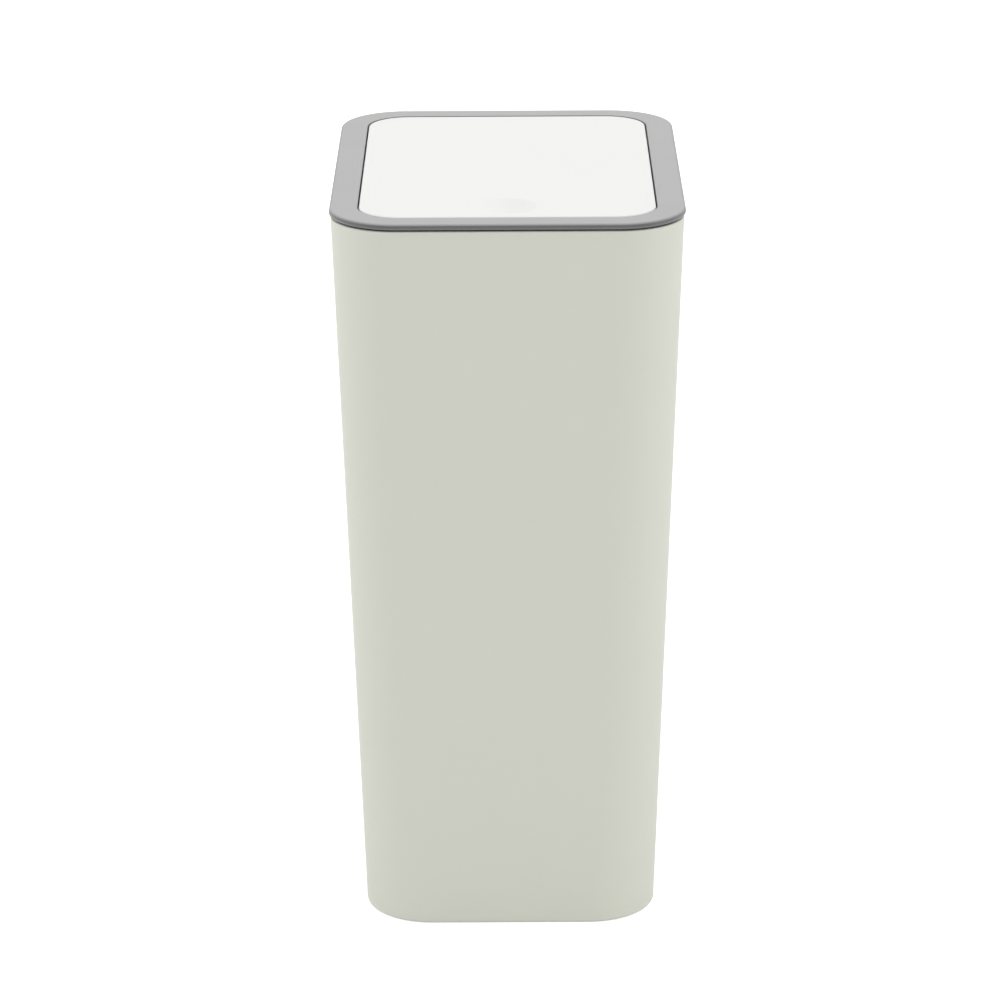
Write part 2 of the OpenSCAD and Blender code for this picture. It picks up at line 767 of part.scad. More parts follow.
// The latch housing: an open-topped box with two screw ears
module latch_housing() {
    back = cavity_back + housing_t;
    color(latch_colour)
    difference() {
        union() {
            box([-housing_w / 2, well_front, housing_low], [housing_w / 2, back, housing_top]);
            box([-housing_w / 2 - ear_w, well_front, ear_z - ear_h / 2],
                [housing_w / 2 + ear_w, well_front + ear_t, ear_z + ear_h / 2]);
        }
        box([-cavity_w / 2, cavity_front, housing_floor],
            [cavity_w / 2, cavity_back, housing_top + over]);
        box([-cam_slot_w / 2, cavity_front - cam_slot_d, cam_low - 1.2],
            [cam_slot_w / 2, cavity_front + tiny, cam_high + 4]);
        rod_y(cavity_front - cam_slot_d - cam_eye_len, cavity_front, cam_wire_d / 2 + running,
              0, cam_low);
        for (s = [-1, 1])
            rod_y(well_front - over, well_front + ear_t + over, clear_r, s * latch_screw_x, ear_z);
    }
}

// The plunger: a block with two hooked jaws, a spring hole and a cam groove
module latch_plunger() {
    front = striker_y - plunger_d / 2;
    back = striker_y + plunger_d / 2;
    color(rim_colour)
    difference() {
        union() {
            box([-plunger_w / 2, front, plunger_low], [plunger_w / 2, back, plunger_seat]);
            both_sides() jaw(front, back);
        }
        translate([0, striker_y, plunger_low - over])
            cylinder(h = spring_hole_top - plunger_low + over, r = spring_hole_r);
        difference() {
            box([-cam_slot_w / 2, front - over, plunger_low - over],
                [cam_slot_w / 2, front + cam_groove, cam_high + striker_drop + 1]);
            cam_island(front);
        }
    }
}

// One jaw with its hook, on the plunger's right
module jaw(front, back) {
    inner = plunger_w / 2 - jaw_t;
    tip = neck_w / 2 + hook_gap;
    translate([0, back, 0]) rotate([90, 0, 0]) linear_extrude(back - front)
        polygon([[plunger_w / 2, plunger_seat - tiny], [plunger_w / 2, jaw_top - 0.8],
                 [plunger_w / 2 - 0.8, jaw_top], [tip + 1, jaw_top],
                 [tip, jaw_top - hook_t / 2], [tip, jaw_top - hook_t],
                 [inner, jaw_top - hook_t], [inner, plunger_seat - tiny]]);
}

// The heart-shaped island that the cam wire hooks under
module cam_island(front) {
    notch = cam_high - cam_wire_d / 2 - seat;
    translate([0, front + cam_groove + over, 0]) rotate([90, 0, 0])
    linear_extrude(cam_groove + over)
        polygon([[0, notch - 0.3], [0.9, notch], [1.1, notch - 1.2], [0, notch - 3.4],
                 [-1.1, notch - 1.2], [-0.9, notch]]);
}

// Path of the plunger spring, with closed end turns
function plunger_path() = let (
    r = coil_d / 2,
    low = housing_floor + coil_wire / 2 + tiny / 2,
    high = spring_hole_top - coil_wire / 2 - tiny / 2,
    n = coil_turns * steps_a_turn)
    [for (i = [0:n]) let (a = 360 * coil_turns * i / n)
        [r * cos(a), striker_y + r * sin(a), low + (high - low) * i / n]];

module latch_spring() {
    path = plunger_path();
    echo(latch_spring_least_gap = least_gap(path, coil_wire));
    color(steel_colour) wire(path, coil_wire / 2, [0, 0, 1]);
}

// The cam wire: a staple that turns in the housing and hooks into the plunger's groove
module latch_cam_wire() {
    r = cam_wire_d / 2;
    hook_end = striker_y - plunger_d / 2 + cam_groove - seat;
    color(steel_colour)
    union() {
        translate([0, cam_y, cam_low - r]) cylinder(h = cam_high - cam_low + 2 * r, r = r);
        rod_y(cavity_front - cam_slot_d - cam_eye_len + 2 * tiny, cam_y, r, 0, cam_low);
        rod_y(cam_y, hook_end, r, 0, cam_high);
    }
}

// The two screws that hold the latch to its seat
module latch_screws() {
    for (s = [-1, 1])
        translate([s * latch_screw_x, well_front + ear_t, ear_z]) rotate([90, 0, 0])
            pan_screw(ear_t + chassis_t + latch_boss_len - 1);
}

// The striker: a screwed base, a neck and a head that the jaws hold
module latch_striker() {
    half_d = 3;
    color(latch_colour)
    difference() {
        union() {
            box([-striker_base_w / 2, striker_y - striker_base_d / 2, striker_low],
                [striker_base_w / 2, striker_y + striker_base_d / 2, carrier_low]);
            translate([0, striker_y + half_d, 0]) rotate([90, 0, 0]) linear_extrude(2 * half_d)
                polygon([[-neck_w / 2, striker_low + tiny], [-neck_w / 2, head_top],
                         [-head_w / 2, head_top], [-head_w / 2, head_top - head_h / 3],
                         [-neck_w / 2, head_low], [neck_w / 2, head_low],
                         [head_w / 2, head_top - head_h / 3], [head_w / 2, head_top],
                         [neck_w / 2, head_top], [neck_w / 2, striker_low + tiny]]);
        }
        both_sides() translate([striker_screw_x, striker_y, striker_low]) {
            translate([0, 0, -over]) cylinder(h = striker_base_t + 2 * over, r = clear_r);
            cylinder(h = (screw_head_d - screw_d) / 2 + 0.05,
                     r1 = screw_head_d / 2 + 0.05, r2 = screw_d / 2);
        }
    }
}

// The two countersunk screws that hold the striker
module striker_screws() {
    both_sides() translate([striker_screw_x, striker_y, striker_low])
        flat_screw(striker_screw_len);
}

pail();
rim_bezel();
inner_chassis();
lid_cover();
lid_carrier();
lid_screws();
mirror([1, 0, 0]) hinge_pin();  // hinge_pin_left
hinge_pin();  // hinge_pin_right
mirror([1, 0, 0]) torsion_spring();  // torsion_spring_left
torsion_spring();  // torsion_spring_right
latch_housing();
latch_plunger();
latch_spring();
latch_cam_wire();
latch_screws();
latch_striker();
striker_screws();
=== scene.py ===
"""Looks of a push-top countertop bin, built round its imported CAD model.

Lengths are in metres, in the frame of the model: +Z up from the worktop, -Y towards the user and +X
to the right. Each class below is one sub-assembly of the bin: the pail, the rim frame, the lid, its
hinge and its push latch. Walls are lofted through rounded-rectangle sections by a Geometry Nodes
tree, and other trees wind the springs and set out what repeats.
"""

import json
import logging
import math
from collections.abc import Iterator, Sequence
from contextlib import contextmanager
from dataclasses import dataclass, field, replace
from enum import Enum
from functools import cached_property

import bmesh
import bpy
from mathutils import Euler, Matrix, Vector
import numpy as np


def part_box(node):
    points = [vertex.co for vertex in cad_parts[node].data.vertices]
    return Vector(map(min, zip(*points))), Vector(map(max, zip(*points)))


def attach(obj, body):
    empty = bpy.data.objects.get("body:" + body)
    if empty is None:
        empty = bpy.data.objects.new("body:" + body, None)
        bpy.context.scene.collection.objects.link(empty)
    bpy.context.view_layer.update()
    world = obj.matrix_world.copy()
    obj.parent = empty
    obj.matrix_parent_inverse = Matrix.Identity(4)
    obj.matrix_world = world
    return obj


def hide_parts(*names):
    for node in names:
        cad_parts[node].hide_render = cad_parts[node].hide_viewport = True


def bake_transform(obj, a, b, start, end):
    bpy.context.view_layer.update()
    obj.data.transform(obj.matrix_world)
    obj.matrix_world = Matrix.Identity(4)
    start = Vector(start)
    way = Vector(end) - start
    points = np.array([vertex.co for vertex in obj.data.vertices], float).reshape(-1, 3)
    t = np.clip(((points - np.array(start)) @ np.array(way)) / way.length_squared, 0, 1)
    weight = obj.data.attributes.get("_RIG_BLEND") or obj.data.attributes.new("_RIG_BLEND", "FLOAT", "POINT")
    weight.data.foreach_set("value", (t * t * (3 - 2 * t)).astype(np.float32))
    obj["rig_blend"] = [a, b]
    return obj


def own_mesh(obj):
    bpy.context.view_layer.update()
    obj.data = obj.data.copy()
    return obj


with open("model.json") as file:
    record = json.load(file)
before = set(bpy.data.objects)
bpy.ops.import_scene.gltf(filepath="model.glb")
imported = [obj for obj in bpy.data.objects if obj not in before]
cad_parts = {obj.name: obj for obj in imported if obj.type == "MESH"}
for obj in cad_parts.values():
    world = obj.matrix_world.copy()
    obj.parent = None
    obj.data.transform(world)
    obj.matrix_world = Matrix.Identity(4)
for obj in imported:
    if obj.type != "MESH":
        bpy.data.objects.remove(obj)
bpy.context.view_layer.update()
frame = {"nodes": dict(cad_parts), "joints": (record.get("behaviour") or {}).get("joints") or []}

log = logging.getLogger("bin")

MM = 0.001
WHITE = (1.0, 1.0, 1.0, 1.0)
JOINTS = {joint["name"]: joint for joint in frame["joints"]}
HINGE_AXIS = JOINTS["lid_open"]["pos_m"]

# Points that lie nearer than this are one, on a new shell and on a copy of a CAD node
WELD = 1e-7
CAD_WELD = 2e-6
# Faces of a CAD node that differ by less than this angle are one face
FLAT_ANGLE = 0.6
# Edges sharper than these angles stay crisp, on mouldings, on screws and on drawn wire
CRISP_ANGLE = 32
SCREW_ANGLE = 40
WIRE_ANGLE = 50
# Edges sharper than this angle are rounded, in this many steps
EASE_ANGLE = 40
EASE_STEPS = 2
# How far the larger faces set the shading at an edge, up to 100
AREA_WEIGHT = 100
# How far solids run into each other before they are joined
OVERLAP = 0.1 * MM

Point = tuple[float, float, float]
Flat = tuple[float, float]
Colour = tuple[float, float, float]
Socket = bpy.types.NodeSocket
Piece = bpy.types.Object


class Body(Enum):
    """The moving bodies of the bin."""

    BIN = "bin"
    FRAME = "frame"
    PINS = "hinge_pins"
    LID = "lid"
    PLUNGER = "latch_plunger"


class Side(Enum):
    """The two sides of the bin, as the sign of their X."""

    LEFT = -1
    RIGHT = 1


class Grain(Enum):
    """Surface textures, as the size of their grain."""

    SPARK = 0.55 * MM
    SATIN = 0.35 * MM
    POLISH = 1.20 * MM
    WIRE = 0.15 * MM


class Head(Enum):
    """The shapes of screw heads."""

    PAN = "pan"
    COUNTERSUNK = "countersunk"


# Node trees


SOCKETS = {"geometry": "NodeSocketGeometry", "float": "NodeSocketFloat", "int": "NodeSocketInt",
           "object": "NodeSocketObject", "material": "NodeSocketMaterial",
           "colour": "NodeSocketColor", "vector": "NodeSocketVector"}


class Recipe:
    """A node tree in the making."""

    def __init__(self, tree: bpy.types.NodeTree) -> None:
        """Keeps the tree that the nodes go into."""
        self.tree = tree

    def add(self, kind: str, inputs: dict | None = None, **settings: object) -> bpy.types.Node:
        """Adds one node.

        Args:
            kind: The node's type name.
            inputs: For each input, by name or number, a value or the socket that feeds it.
            **settings: Properties to set on the node before its inputs.

        Returns:
            The new node.
        """
        node = self.tree.nodes.new(kind)
        for name, value in settings.items():
            setattr(node, name, value)
        for key, value in (inputs or {}).items():
            if isinstance(value, bpy.types.NodeSocket):
                self.tree.links.new(value, node.inputs[key])
            else:
                node.inputs[key].default_value = value
        return node

    def math(self, operation: str, *values: object) -> Socket:
        """The result of one Math node."""
        return self.add("ShaderNodeMath", dict(enumerate(values)), operation=operation).outputs[0]

    def vector(self, operation: str, inputs: dict) -> Socket:
        """The result of one Vector Math node: a number for LENGTH and DOT_PRODUCT."""
        result = "Value" if operation in ("LENGTH", "DOT_PRODUCT") else "Vector"
        return self.add("ShaderNodeVectorMath", inputs, operation=operation).outputs[result]

    def mix(self, low: object, high: object, share: object) -> Socket:
        """A number between low and high, as share goes from 0 to 1."""
        return self.math("MULTIPLY_ADD", self.math("SUBTRACT", high, low), share, low)

    def ramp(self, value: object, low: object, high: object, pace: str = "LINEAR") -> Socket:
        """A number that goes evenly from 0 to 1 as value goes from low to high."""
        return self.add("ShaderNodeMapRange", {"Value": value, "From Min": low, "From Max": high},
                        interpolation_type=pace).outputs["Result"]

    def smooth(self, value: object, low: object, high: object) -> Socket:
        """A number that eases from 0 to 1 as value goes from low to high."""
        return self.ramp(value, low, high, "SMOOTHSTEP")

    def invert(self, share: object) -> Socket:
        """What a share leaves of 1."""
        return self.math("SUBTRACT", 1.0, share)

    def effect(self, group: bpy.types.NodeTree, inputs: dict) -> bpy.types.Node:
        """One of the shader node groups below, with its own values."""
        return self.add("ShaderNodeGroup", inputs, node_tree=group)

    def attribute(self, name: str) -> Socket:
        """A named number on each point."""
        node = self.add("GeometryNodeInputNamedAttribute", {"Name": name}, data_type="FLOAT")
        return node.outputs["Attribute"]

    def store(self, geometry: Socket, name: str, value: Socket) -> Socket:
        """Geometry with a named number kept on each point."""
        return self.add("GeometryNodeStoreNamedAttribute",
                        {"Geometry": geometry, "Name": name, "Value": value},
                        data_type="FLOAT", domain="POINT").outputs["Geometry"]

    def end(self, geometry: Socket, material: Socket) -> None:
        """Ends a geometry tree with smooth, real meshes in one material.

        Args:
            geometry: What the tree has made.
            material: The material's input.
        """
        smooth = self.add("GeometryNodeSetShadeSmooth", {"Geometry": geometry})
        real = self.add("GeometryNodeRealizeInstances", {"Geometry": smooth.outputs["Geometry"]})
        painted = self.add("GeometryNodeSetMaterial",
                           {"Geometry": real.outputs["Geometry"], "Material": material})
        self.add("NodeGroupOutput", {"Geometry": painted.outputs["Geometry"]})


def blank(owner: bpy.types.ID) -> Recipe:
    """An empty recipe for a new material or world.

    Args:
        owner: The material or world.

    Returns:
        The recipe to fill.
    """
    owner.use_nodes = True
    owner.node_tree.nodes.clear()
    return Recipe(owner.node_tree)


def new_group(name: str, kind: str, inputs: dict[str, str],
              outputs: dict[str, str]) -> tuple[Recipe, dict[str, Socket]]:
    """Makes an empty node group with named sockets.

    Args:
        name: The group's name.
        kind: GeometryNodeTree or ShaderNodeTree.
        inputs: The kind of each input, by name.
        outputs: The kind of each output, by name.

    Returns:
        The recipe to fill, and what the group is given, by name.
    """
    tree = bpy.data.node_groups.new(name, kind)
    for in_out, sockets in (("INPUT", inputs), ("OUTPUT", outputs)):
        for title, socket in sockets.items():
            tree.interface.new_socket(title, in_out=in_out, socket_type=SOCKETS[socket])
    recipe = Recipe(tree)
    given = recipe.add("NodeGroupInput").outputs
    return recipe, {title: given[title] for title in inputs}


def loft_path(recipe: Recipe, steps: Socket, cuts: Socket) -> Socket:
    """The path round a section: even steps in the corners, and cuts that crowd at mid-wall.

    Args:
        recipe: The tree that the path is for.
        steps: The steps in each corner.
        cuts: The cuts along each side.

    Returns:
        The path. Each of its points keeps its turn in radians, and as side_x and side_y the
        corner that it belongs to, from -1 to 1.
    """
    make, quarter, crowding = recipe.math, math.pi / 2, 3
    block = make("ADD", make("ADD", steps, cuts), 1)
    circle = recipe.add("GeometryNodeCurvePrimitiveCircle",
                        {"Resolution": make("MULTIPLY", block, 4)})
    index = recipe.add("GeometryNodeInputIndex").outputs[0]
    corner = make("FLOOR", make("DIVIDE", make("ADD", index, 0.5), block))
    spot = make("SUBTRACT", index, make("MULTIPLY", corner, block))
    turned = make("DIVIDE", make("MINIMUM", spot, steps), steps)
    past = make("MAXIMUM", make("SUBTRACT", spot, steps), 0)
    along = make("DIVIDE", past, make("ADD", cuts, 1))
    crowded = make("POWER", make("MULTIPLY_ADD", along, 2, -1), crowding)
    share = make("MULTIPLY_ADD", crowded, 0.5, 0.5)
    path = recipe.store(circle.outputs["Curve"], "turn",
                        make("MULTIPLY", make("ADD", corner, turned), quarter))
    # A side runs from the middle of its corner's quarter turn to the middle of the next one
    for name, operation in (("side_x", "COSINE"), ("side_y", "SINE")):
        here, after = (
            make("SIGN", make(operation, make("MULTIPLY", make("ADD", corner, shift), quarter)))
            for shift in (0.5, 1.5))
        path = recipe.store(path, name, recipe.mix(here, after, share))
    return path


def loft_tree() -> bpy.types.NodeTree:
    """The tree that lofts a wall round a rounded rectangle.

    Each point of the profile that it starts from says the section that it stands for. On the
    outer skin the wall can sink a little at the middle of each side, as moulded plastic does over
    a rib.

    Returns:
        The tree, with the steps and the sizes of the sink as named inputs.
    """
    recipe, given = new_group(
        "rounded_loft", "GeometryNodeTree",
        {"Geometry": "geometry", "Corner Steps": "int", "Side Cuts": "int", "Sink Depth": "float",
         "Sink Width": "float", "Sink Low": "float", "Sink High": "float",
         "Sink Ease": "float", "Material": "material"},
        {"Geometry": "geometry"})
    make = recipe.math
    path = loft_path(recipe, given["Corner Steps"], given["Side Cuts"])
    profile = recipe.add("GeometryNodeMeshToCurve", {"Mesh": given["Geometry"]})
    wall = recipe.add("GeometryNodeCurveToMesh",
                      {"Curve": path, "Profile Curve": profile.outputs["Curve"]})

    radius, height = recipe.attribute("corner"), recipe.attribute("height")
    cosine, sine = (make(operation, recipe.attribute("turn")) for operation in ("COSINE", "SINE"))
    plan = []
    for side, half, trig in (("side_x", "half_w", cosine), ("side_y", "half_d", sine)):
        straight = make("SUBTRACT", recipe.attribute(half), radius)
        reach = make("MULTIPLY", recipe.attribute(side), straight)
        plan.append(make("MULTIPLY_ADD", radius, trig, reach))

    off_middle = make("ADD", make("ABSOLUTE", make("MULTIPLY", plan[0], sine)),
                      make("ABSOLUTE", make("MULTIPLY", plan[1], cosine)))
    spread = make("POWER", make("DIVIDE", off_middle, given["Sink Width"]), 2)
    bell = make("EXPONENT", make("MULTIPLY", spread, -1))
    low, high, ease_by = given["Sink Low"], given["Sink High"], given["Sink Ease"]
    begun = recipe.smooth(height, low, make("ADD", low, ease_by))
    ended = recipe.smooth(height, make("SUBTRACT", high, ease_by), high)
    window = make("MULTIPLY", begun, make("SUBTRACT", 1, ended))
    depth = make("MULTIPLY", given["Sink Depth"], recipe.attribute("outer"))
    sink = make("MULTIPLY", make("MULTIPLY", depth, bell), window)
    place_x, place_y = (make("SUBTRACT", reach, make("MULTIPLY", sink, trig))
                        for reach, trig in zip(plan, (cosine, sine)))
    position = recipe.add("ShaderNodeCombineXYZ", {"X": place_x, "Y": place_y, "Z": height})
    shaped = recipe.add("GeometryNodeSetPosition",
                        {"Geometry": wall.outputs["Mesh"], "Position": position.outputs[0]})
    recipe.end(shaped.outputs["Geometry"], given["Material"])
    return recipe.tree


def wire_tree() -> bpy.types.NodeTree:
    """The tree that draws a round wire along a path.

    Returns:
        The tree, with the wire's radius and number of sides as named inputs.
    """
    recipe, given = new_group(
        "drawn_wire", "GeometryNodeTree",
        {"Geometry": "geometry", "Wire Radius": "float", "Sides": "int", "Material": "material"},
        {"Geometry": "geometry"})
    path = recipe.add("GeometryNodeMeshToCurve", {"Mesh": given["Geometry"]})
    section = recipe.add("GeometryNodeCurvePrimitiveCircle",
                         {"Resolution": given["Sides"], "Radius": given["Wire Radius"]})
    wire = recipe.add("GeometryNodeCurveToMesh",
                      {"Curve": path.outputs["Curve"], "Profile Curve": section.outputs["Curve"],
                       "Fill Caps": True})
    recipe.end(wire.outputs["Mesh"], given["Material"])
    return recipe.tree


def copies_tree() -> bpy.types.NodeTree:
    """The tree that sets out copies of one shape on points, each turned as its point says.

    Returns:
        The tree, with the shape as a named input.
    """
    recipe, given = new_group(
        "set_out_copies", "GeometryNodeTree",
        {"Geometry": "geometry", "Shape": "object", "Material": "material"},
        {"Geometry": "geometry"})
    shape = recipe.add("GeometryNodeObjectInfo", {"Object": given["Shape"]})
    angles = recipe.add("ShaderNodeCombineXYZ",
                        {axis.upper(): recipe.attribute("turn_" + axis) for axis in "xyz"})
    rotation = recipe.add("FunctionNodeEulerToRotation", {"Euler": angles.outputs[0]})
    placed = recipe.add("GeometryNodeInstanceOnPoints",
                        {"Points": given["Geometry"], "Instance": shape.outputs["Geometry"],
                         "Rotation": rotation.outputs[0]})
    recipe.end(placed.outputs["Instances"], given["Material"])
    return recipe.tree


def drift_group() -> bpy.types.NodeTree:
    """The slow change of tone over a moulding.

    Returns:
        The group. A colour goes in, and the same colour comes out a little lighter or darker.
    """
    recipe, given = new_group("tone_drift", "ShaderNodeTree",
                              {"Colour": "colour", "Amount": "float", "Scale": "float"},
                              {"Colour": "colour"})
    where = recipe.add("ShaderNodeTexCoord").outputs["Object"]
    cloud = recipe.add("ShaderNodeTexNoise",
                       {"Vector": where, "Scale": given["Scale"], "Detail": 3.0,
                        "Roughness": 0.55})
    centred = recipe.math("SUBTRACT", cloud.outputs["Fac"], 0.5)
    factor = recipe.math("MULTIPLY_ADD", centred, given["Amount"], 1.0)
    toned = recipe.vector("SCALE", {0: given["Colour"], "Scale": factor})
    recipe.add("NodeGroupOutput", {"Colour": toned})
    return recipe.tree


def grain_group() -> bpy.types.NodeTree:
    """The fine texture that a mould or a drawing die leaves.

    Returns:
        The group. The size of the grain goes in, and a height and a broad mask come out.
    """
    recipe, given = new_group("mould_grain", "ShaderNodeTree", {"Grain": "float"},
                              {"Height": "float", "Mask": "float"})
    noise_share = 0.6
    where = recipe.add("ShaderNodeTexCoord").outputs["Object"]
    scale = recipe.math("DIVIDE", 1.0, given["Grain"])
    pits = recipe.add("ShaderNodeTexVoronoi", {"Vector": where, "Scale": scale},
                      feature="SMOOTH_F1")
    fine = recipe.add("ShaderNodeTexNoise", {"Vector": where, "Scale": scale, "Detail": 2.0})
    broad = recipe.add("ShaderNodeTexNoise",
                       {"Vector": where, "Scale": 40.0, "Detail": 4.0, "Roughness": 0.6})
    height = recipe.mix(pits.outputs["Distance"], fine.outputs["Fac"], noise_share)
    recipe.add("NodeGroupOutput", {"Height": height, "Mask": broad.outputs["Fac"]})
    return recipe.tree


def edge_group() -> bpy.types.NodeTree:
    """Where edges are, which wear smoother and lighter than the faces between them. On the rim
    the lighter edge stands mostly for a painted highlight.

    Returns:
        The group. The width of an edge goes in, and a mask and the rounded normal come out. The
        mask is full where the rounded and the plain normal agree by less than worn, and empty
        where they agree by more than whole.
    """
    recipe, given = new_group("edge_wear", "ShaderNodeTree", {"Width": "float"},
                              {"Mask": "float", "Normal": "vector"})
    worn, whole = 0.80, 0.99
    rounded = recipe.add("ShaderNodeBevel", {"Radius": given["Width"]}, samples=4).outputs[0]
    plain = recipe.add("ShaderNodeNewGeometry").outputs["Normal"]
    alike = recipe.vector("DOT_PRODUCT", {0: rounded, 1: plain})
    mask = recipe.invert(recipe.smooth(alike, worn, whole))
    recipe.add("NodeGroupOutput", {"Mask": mask, "Normal": rounded})
    return recipe.tree


def roll_shade_group() -> bpy.types.NodeTree:
    """Painted shade on a surface that rolls over from facing up to facing sideways.

    Returns:
        The group. The upward slope where the painted shade is full goes in, and how much of it is
        taken off the underside and towards the sides. The mask of painted shade comes out. The
        underside begins at a slope of under_from and is full at under_to, and a side begins where X is past
        aside.
    """
    recipe, given = new_group("rolled_edge", "ShaderNodeTree",
                              {"Full": "float", "Under Fade": "float", "Side Fade": "float"},
                              {"Mask": "float"})
    under_to, under_from, aside = -0.25, 0.2, 0.6
    normal = recipe.add("ShaderNodeNewGeometry").outputs["Normal"]
    local = recipe.add("ShaderNodeVectorTransform", {"Vector": normal}, vector_type="NORMAL",
                       convert_from="WORLD", convert_to="OBJECT")
    facing = recipe.add("ShaderNodeSeparateXYZ", {"Vector": local.outputs[0]}).outputs
    mask = recipe.invert(recipe.ramp(facing["Z"], given["Full"], 1.0))
    below = recipe.invert(recipe.ramp(facing["Z"], under_to, under_from))
    sideways = recipe.smooth(recipe.math("ABSOLUTE", facing["X"]), aside, 1.0)
    for share, fade in ((below, given["Under Fade"]), (sideways, given["Side Fade"])):
        kept = recipe.invert(recipe.math("MULTIPLY", share, fade))
        mask = recipe.math("MULTIPLY", mask, kept)
    recipe.add("NodeGroupOutput", {"Mask": mask})
    return recipe.tree


def dish_shade_group() -> bpy.types.NodeTree:
    """A round spot of painted shade on a dish, darker on its right side, so that it fades out to the left.

    Returns:
        The group. The spot's middle and radius go in, and a mask comes out. In radii from the
        middle, it ends between soft and 1, and fades out from right to left.
    """
    recipe, given = new_group("finger_touch", "ShaderNodeTree",
                              {"Middle": "vector", "Radius": "float"}, {"Mask": "float"})
    soft, left, right = 0.85, -0.7, 0.2
    where = recipe.add("ShaderNodeTexCoord").outputs["Object"]
    away = recipe.vector("SUBTRACT", {0: where, 1: given["Middle"]})
    small = recipe.math("DIVIDE", 1.0, given["Radius"])
    share = recipe.vector("SCALE", {0: away, "Scale": small})
    far = recipe.vector("LENGTH", {0: share})
    beside = recipe.add("ShaderNodeSeparateXYZ", {"Vector": share}).outputs["X"]
    inside = recipe.invert(recipe.smooth(far, soft, 1.0))
    mask = recipe.math("MULTIPLY", inside, recipe.ramp(beside, left, right))
    recipe.add("NodeGroupOutput", {"Mask": mask})
    return recipe.tree


LOFT, WIRE, COPIES = loft_tree(), wire_tree(), copies_tree()
DRIFT, GRAIN, EDGE = drift_group(), grain_group(), edge_group()
ROLL_SHADE, DISH_SHADE = roll_shade_group(), dish_shade_group()


# Finishes


def linear(channel: float) -> float:
    """A display value from 0 to 1 as the amount of light that it stands for."""
    return channel / 12.92 if channel <= 0.04045 else ((channel + 0.055) / 1.055) ** 2.4


@dataclass(frozen=True)
class Finish:
    """A finish: its colour as it shows, its gloss, its grain, how its edges have worn, and the
    painted highlights and painted shade that some finishes carry.

    Attributes:
        drift: How much the tone drifts over the piece.
        edge_lift: How much lighter an edge is, from wear, and on the rim mostly as a painted highlight.
        gloss_spread: How much the roughness varies, and how much smoother a worn edge is.
        roll_shade: How much painted shade darkens an edge where it rolls over; the two fades
            lessen it on the underside and the sides.
        shade_spot_at: The middle of a dish's painted shade, if the piece has one.
        shade_spot_loss: How much of its red, green and blue the painted shade takes away.
    """

    name: str
    slot: str
    colour: Colour
    roughness: float
    grain: Grain
    grain_depth: float
    drift: float = 0.02
    drift_scale: float = 14.0
    metallic: float = 0.0
    specular: float = 0.5
    edge_width: float = 0.4 * MM
    edge_lift: float = 0.03
    gloss_spread: float = 0.05
    roll_shade: float = 0.0
    roll_full: float = 0.48
    under_fade: float = 0.3
    side_fade: float = 0.3
    shade_spot_at: Point | None = None
    shade_spot_r: float = 10 * MM
    shade_spot_loss: Colour = (0.043, 0.041, 0.056)

    @cached_property
    def material(self) -> bpy.types.Material:
        """The finish's material, made when it is first asked for.

        Returns:
            The material, with its tone, its grain, its rolled edge and its wear.
        """
        made = bpy.data.materials.new(self.name)
        recipe = blank(made)
        paint = (*map(linear, self.colour), 1.0)
        tone = recipe.effect(DRIFT, {"Colour": paint, "Amount": self.drift,
                                     "Scale": self.drift_scale})
        grain = recipe.effect(GRAIN, {"Grain": self.grain.value})
        edge = recipe.effect(EDGE, {"Width": self.edge_width})
        # Edges are lightened, from wear, and on the rim mostly as a painted highlight.
        factor = recipe.math("MULTIPLY_ADD", edge.outputs["Mask"], self.edge_lift, 1.0)
        # Painted shade darkens an edge where it rolls over towards the sides.
        if self.roll_shade:
            roll = recipe.effect(ROLL_SHADE, {"Full": self.roll_full, "Under Fade": self.under_fade,
                                        "Side Fade": self.side_fade})
            shade_by = recipe.math("MULTIPLY_ADD", roll.outputs["Mask"], -self.roll_shade, 1.0)
            factor = recipe.math("MULTIPLY", factor, shade_by)
        colour = recipe.vector("SCALE", {0: tone.outputs["Colour"], "Scale": factor})
        # Painted shade on the finger dish, darker on its right side and fading out to the left.
        if self.shade_spot_at:
            dish_shade = recipe.effect(DISH_SHADE, {"Middle": self.shade_spot_at, "Radius": self.shade_spot_r})
            loss = recipe.vector("SCALE", {0: self.shade_spot_loss, "Scale": dish_shade.outputs["Mask"]})
            kept = recipe.vector("SUBTRACT", {0: (1.0, 1.0, 1.0), 1: loss})
            colour = recipe.vector("MULTIPLY", {0: colour, 1: kept})
        spread = recipe.math("SUBTRACT", grain.outputs["Mask"], 0.5)
        rough = recipe.math("MULTIPLY_ADD", spread, 2 * self.gloss_spread, self.roughness)
        polished = recipe.math("MULTIPLY_ADD", edge.outputs["Mask"], -self.gloss_spread, rough)
        bump = recipe.add("ShaderNodeBump",
                          {"Height": grain.outputs["Height"], "Distance": self.grain_depth,
                           "Normal": edge.outputs["Normal"]})
        shader = recipe.add("ShaderNodeBsdfPrincipled",
                            {"Base Color": colour, "Roughness": polished,
                             "Metallic": self.metallic, "Specular IOR Level": self.specular,
                             "Normal": bump.outputs[0]})
        recipe.add("ShaderNodeOutputMaterial", {"Surface": shader.outputs[0]})
        return made


PAIL_PLASTIC = Finish("pail_moulding", "pail_plastic", (0.812, 0.820, 0.776), 0.52, Grain.SPARK,
                      0.010 * MM, specular=0.4)
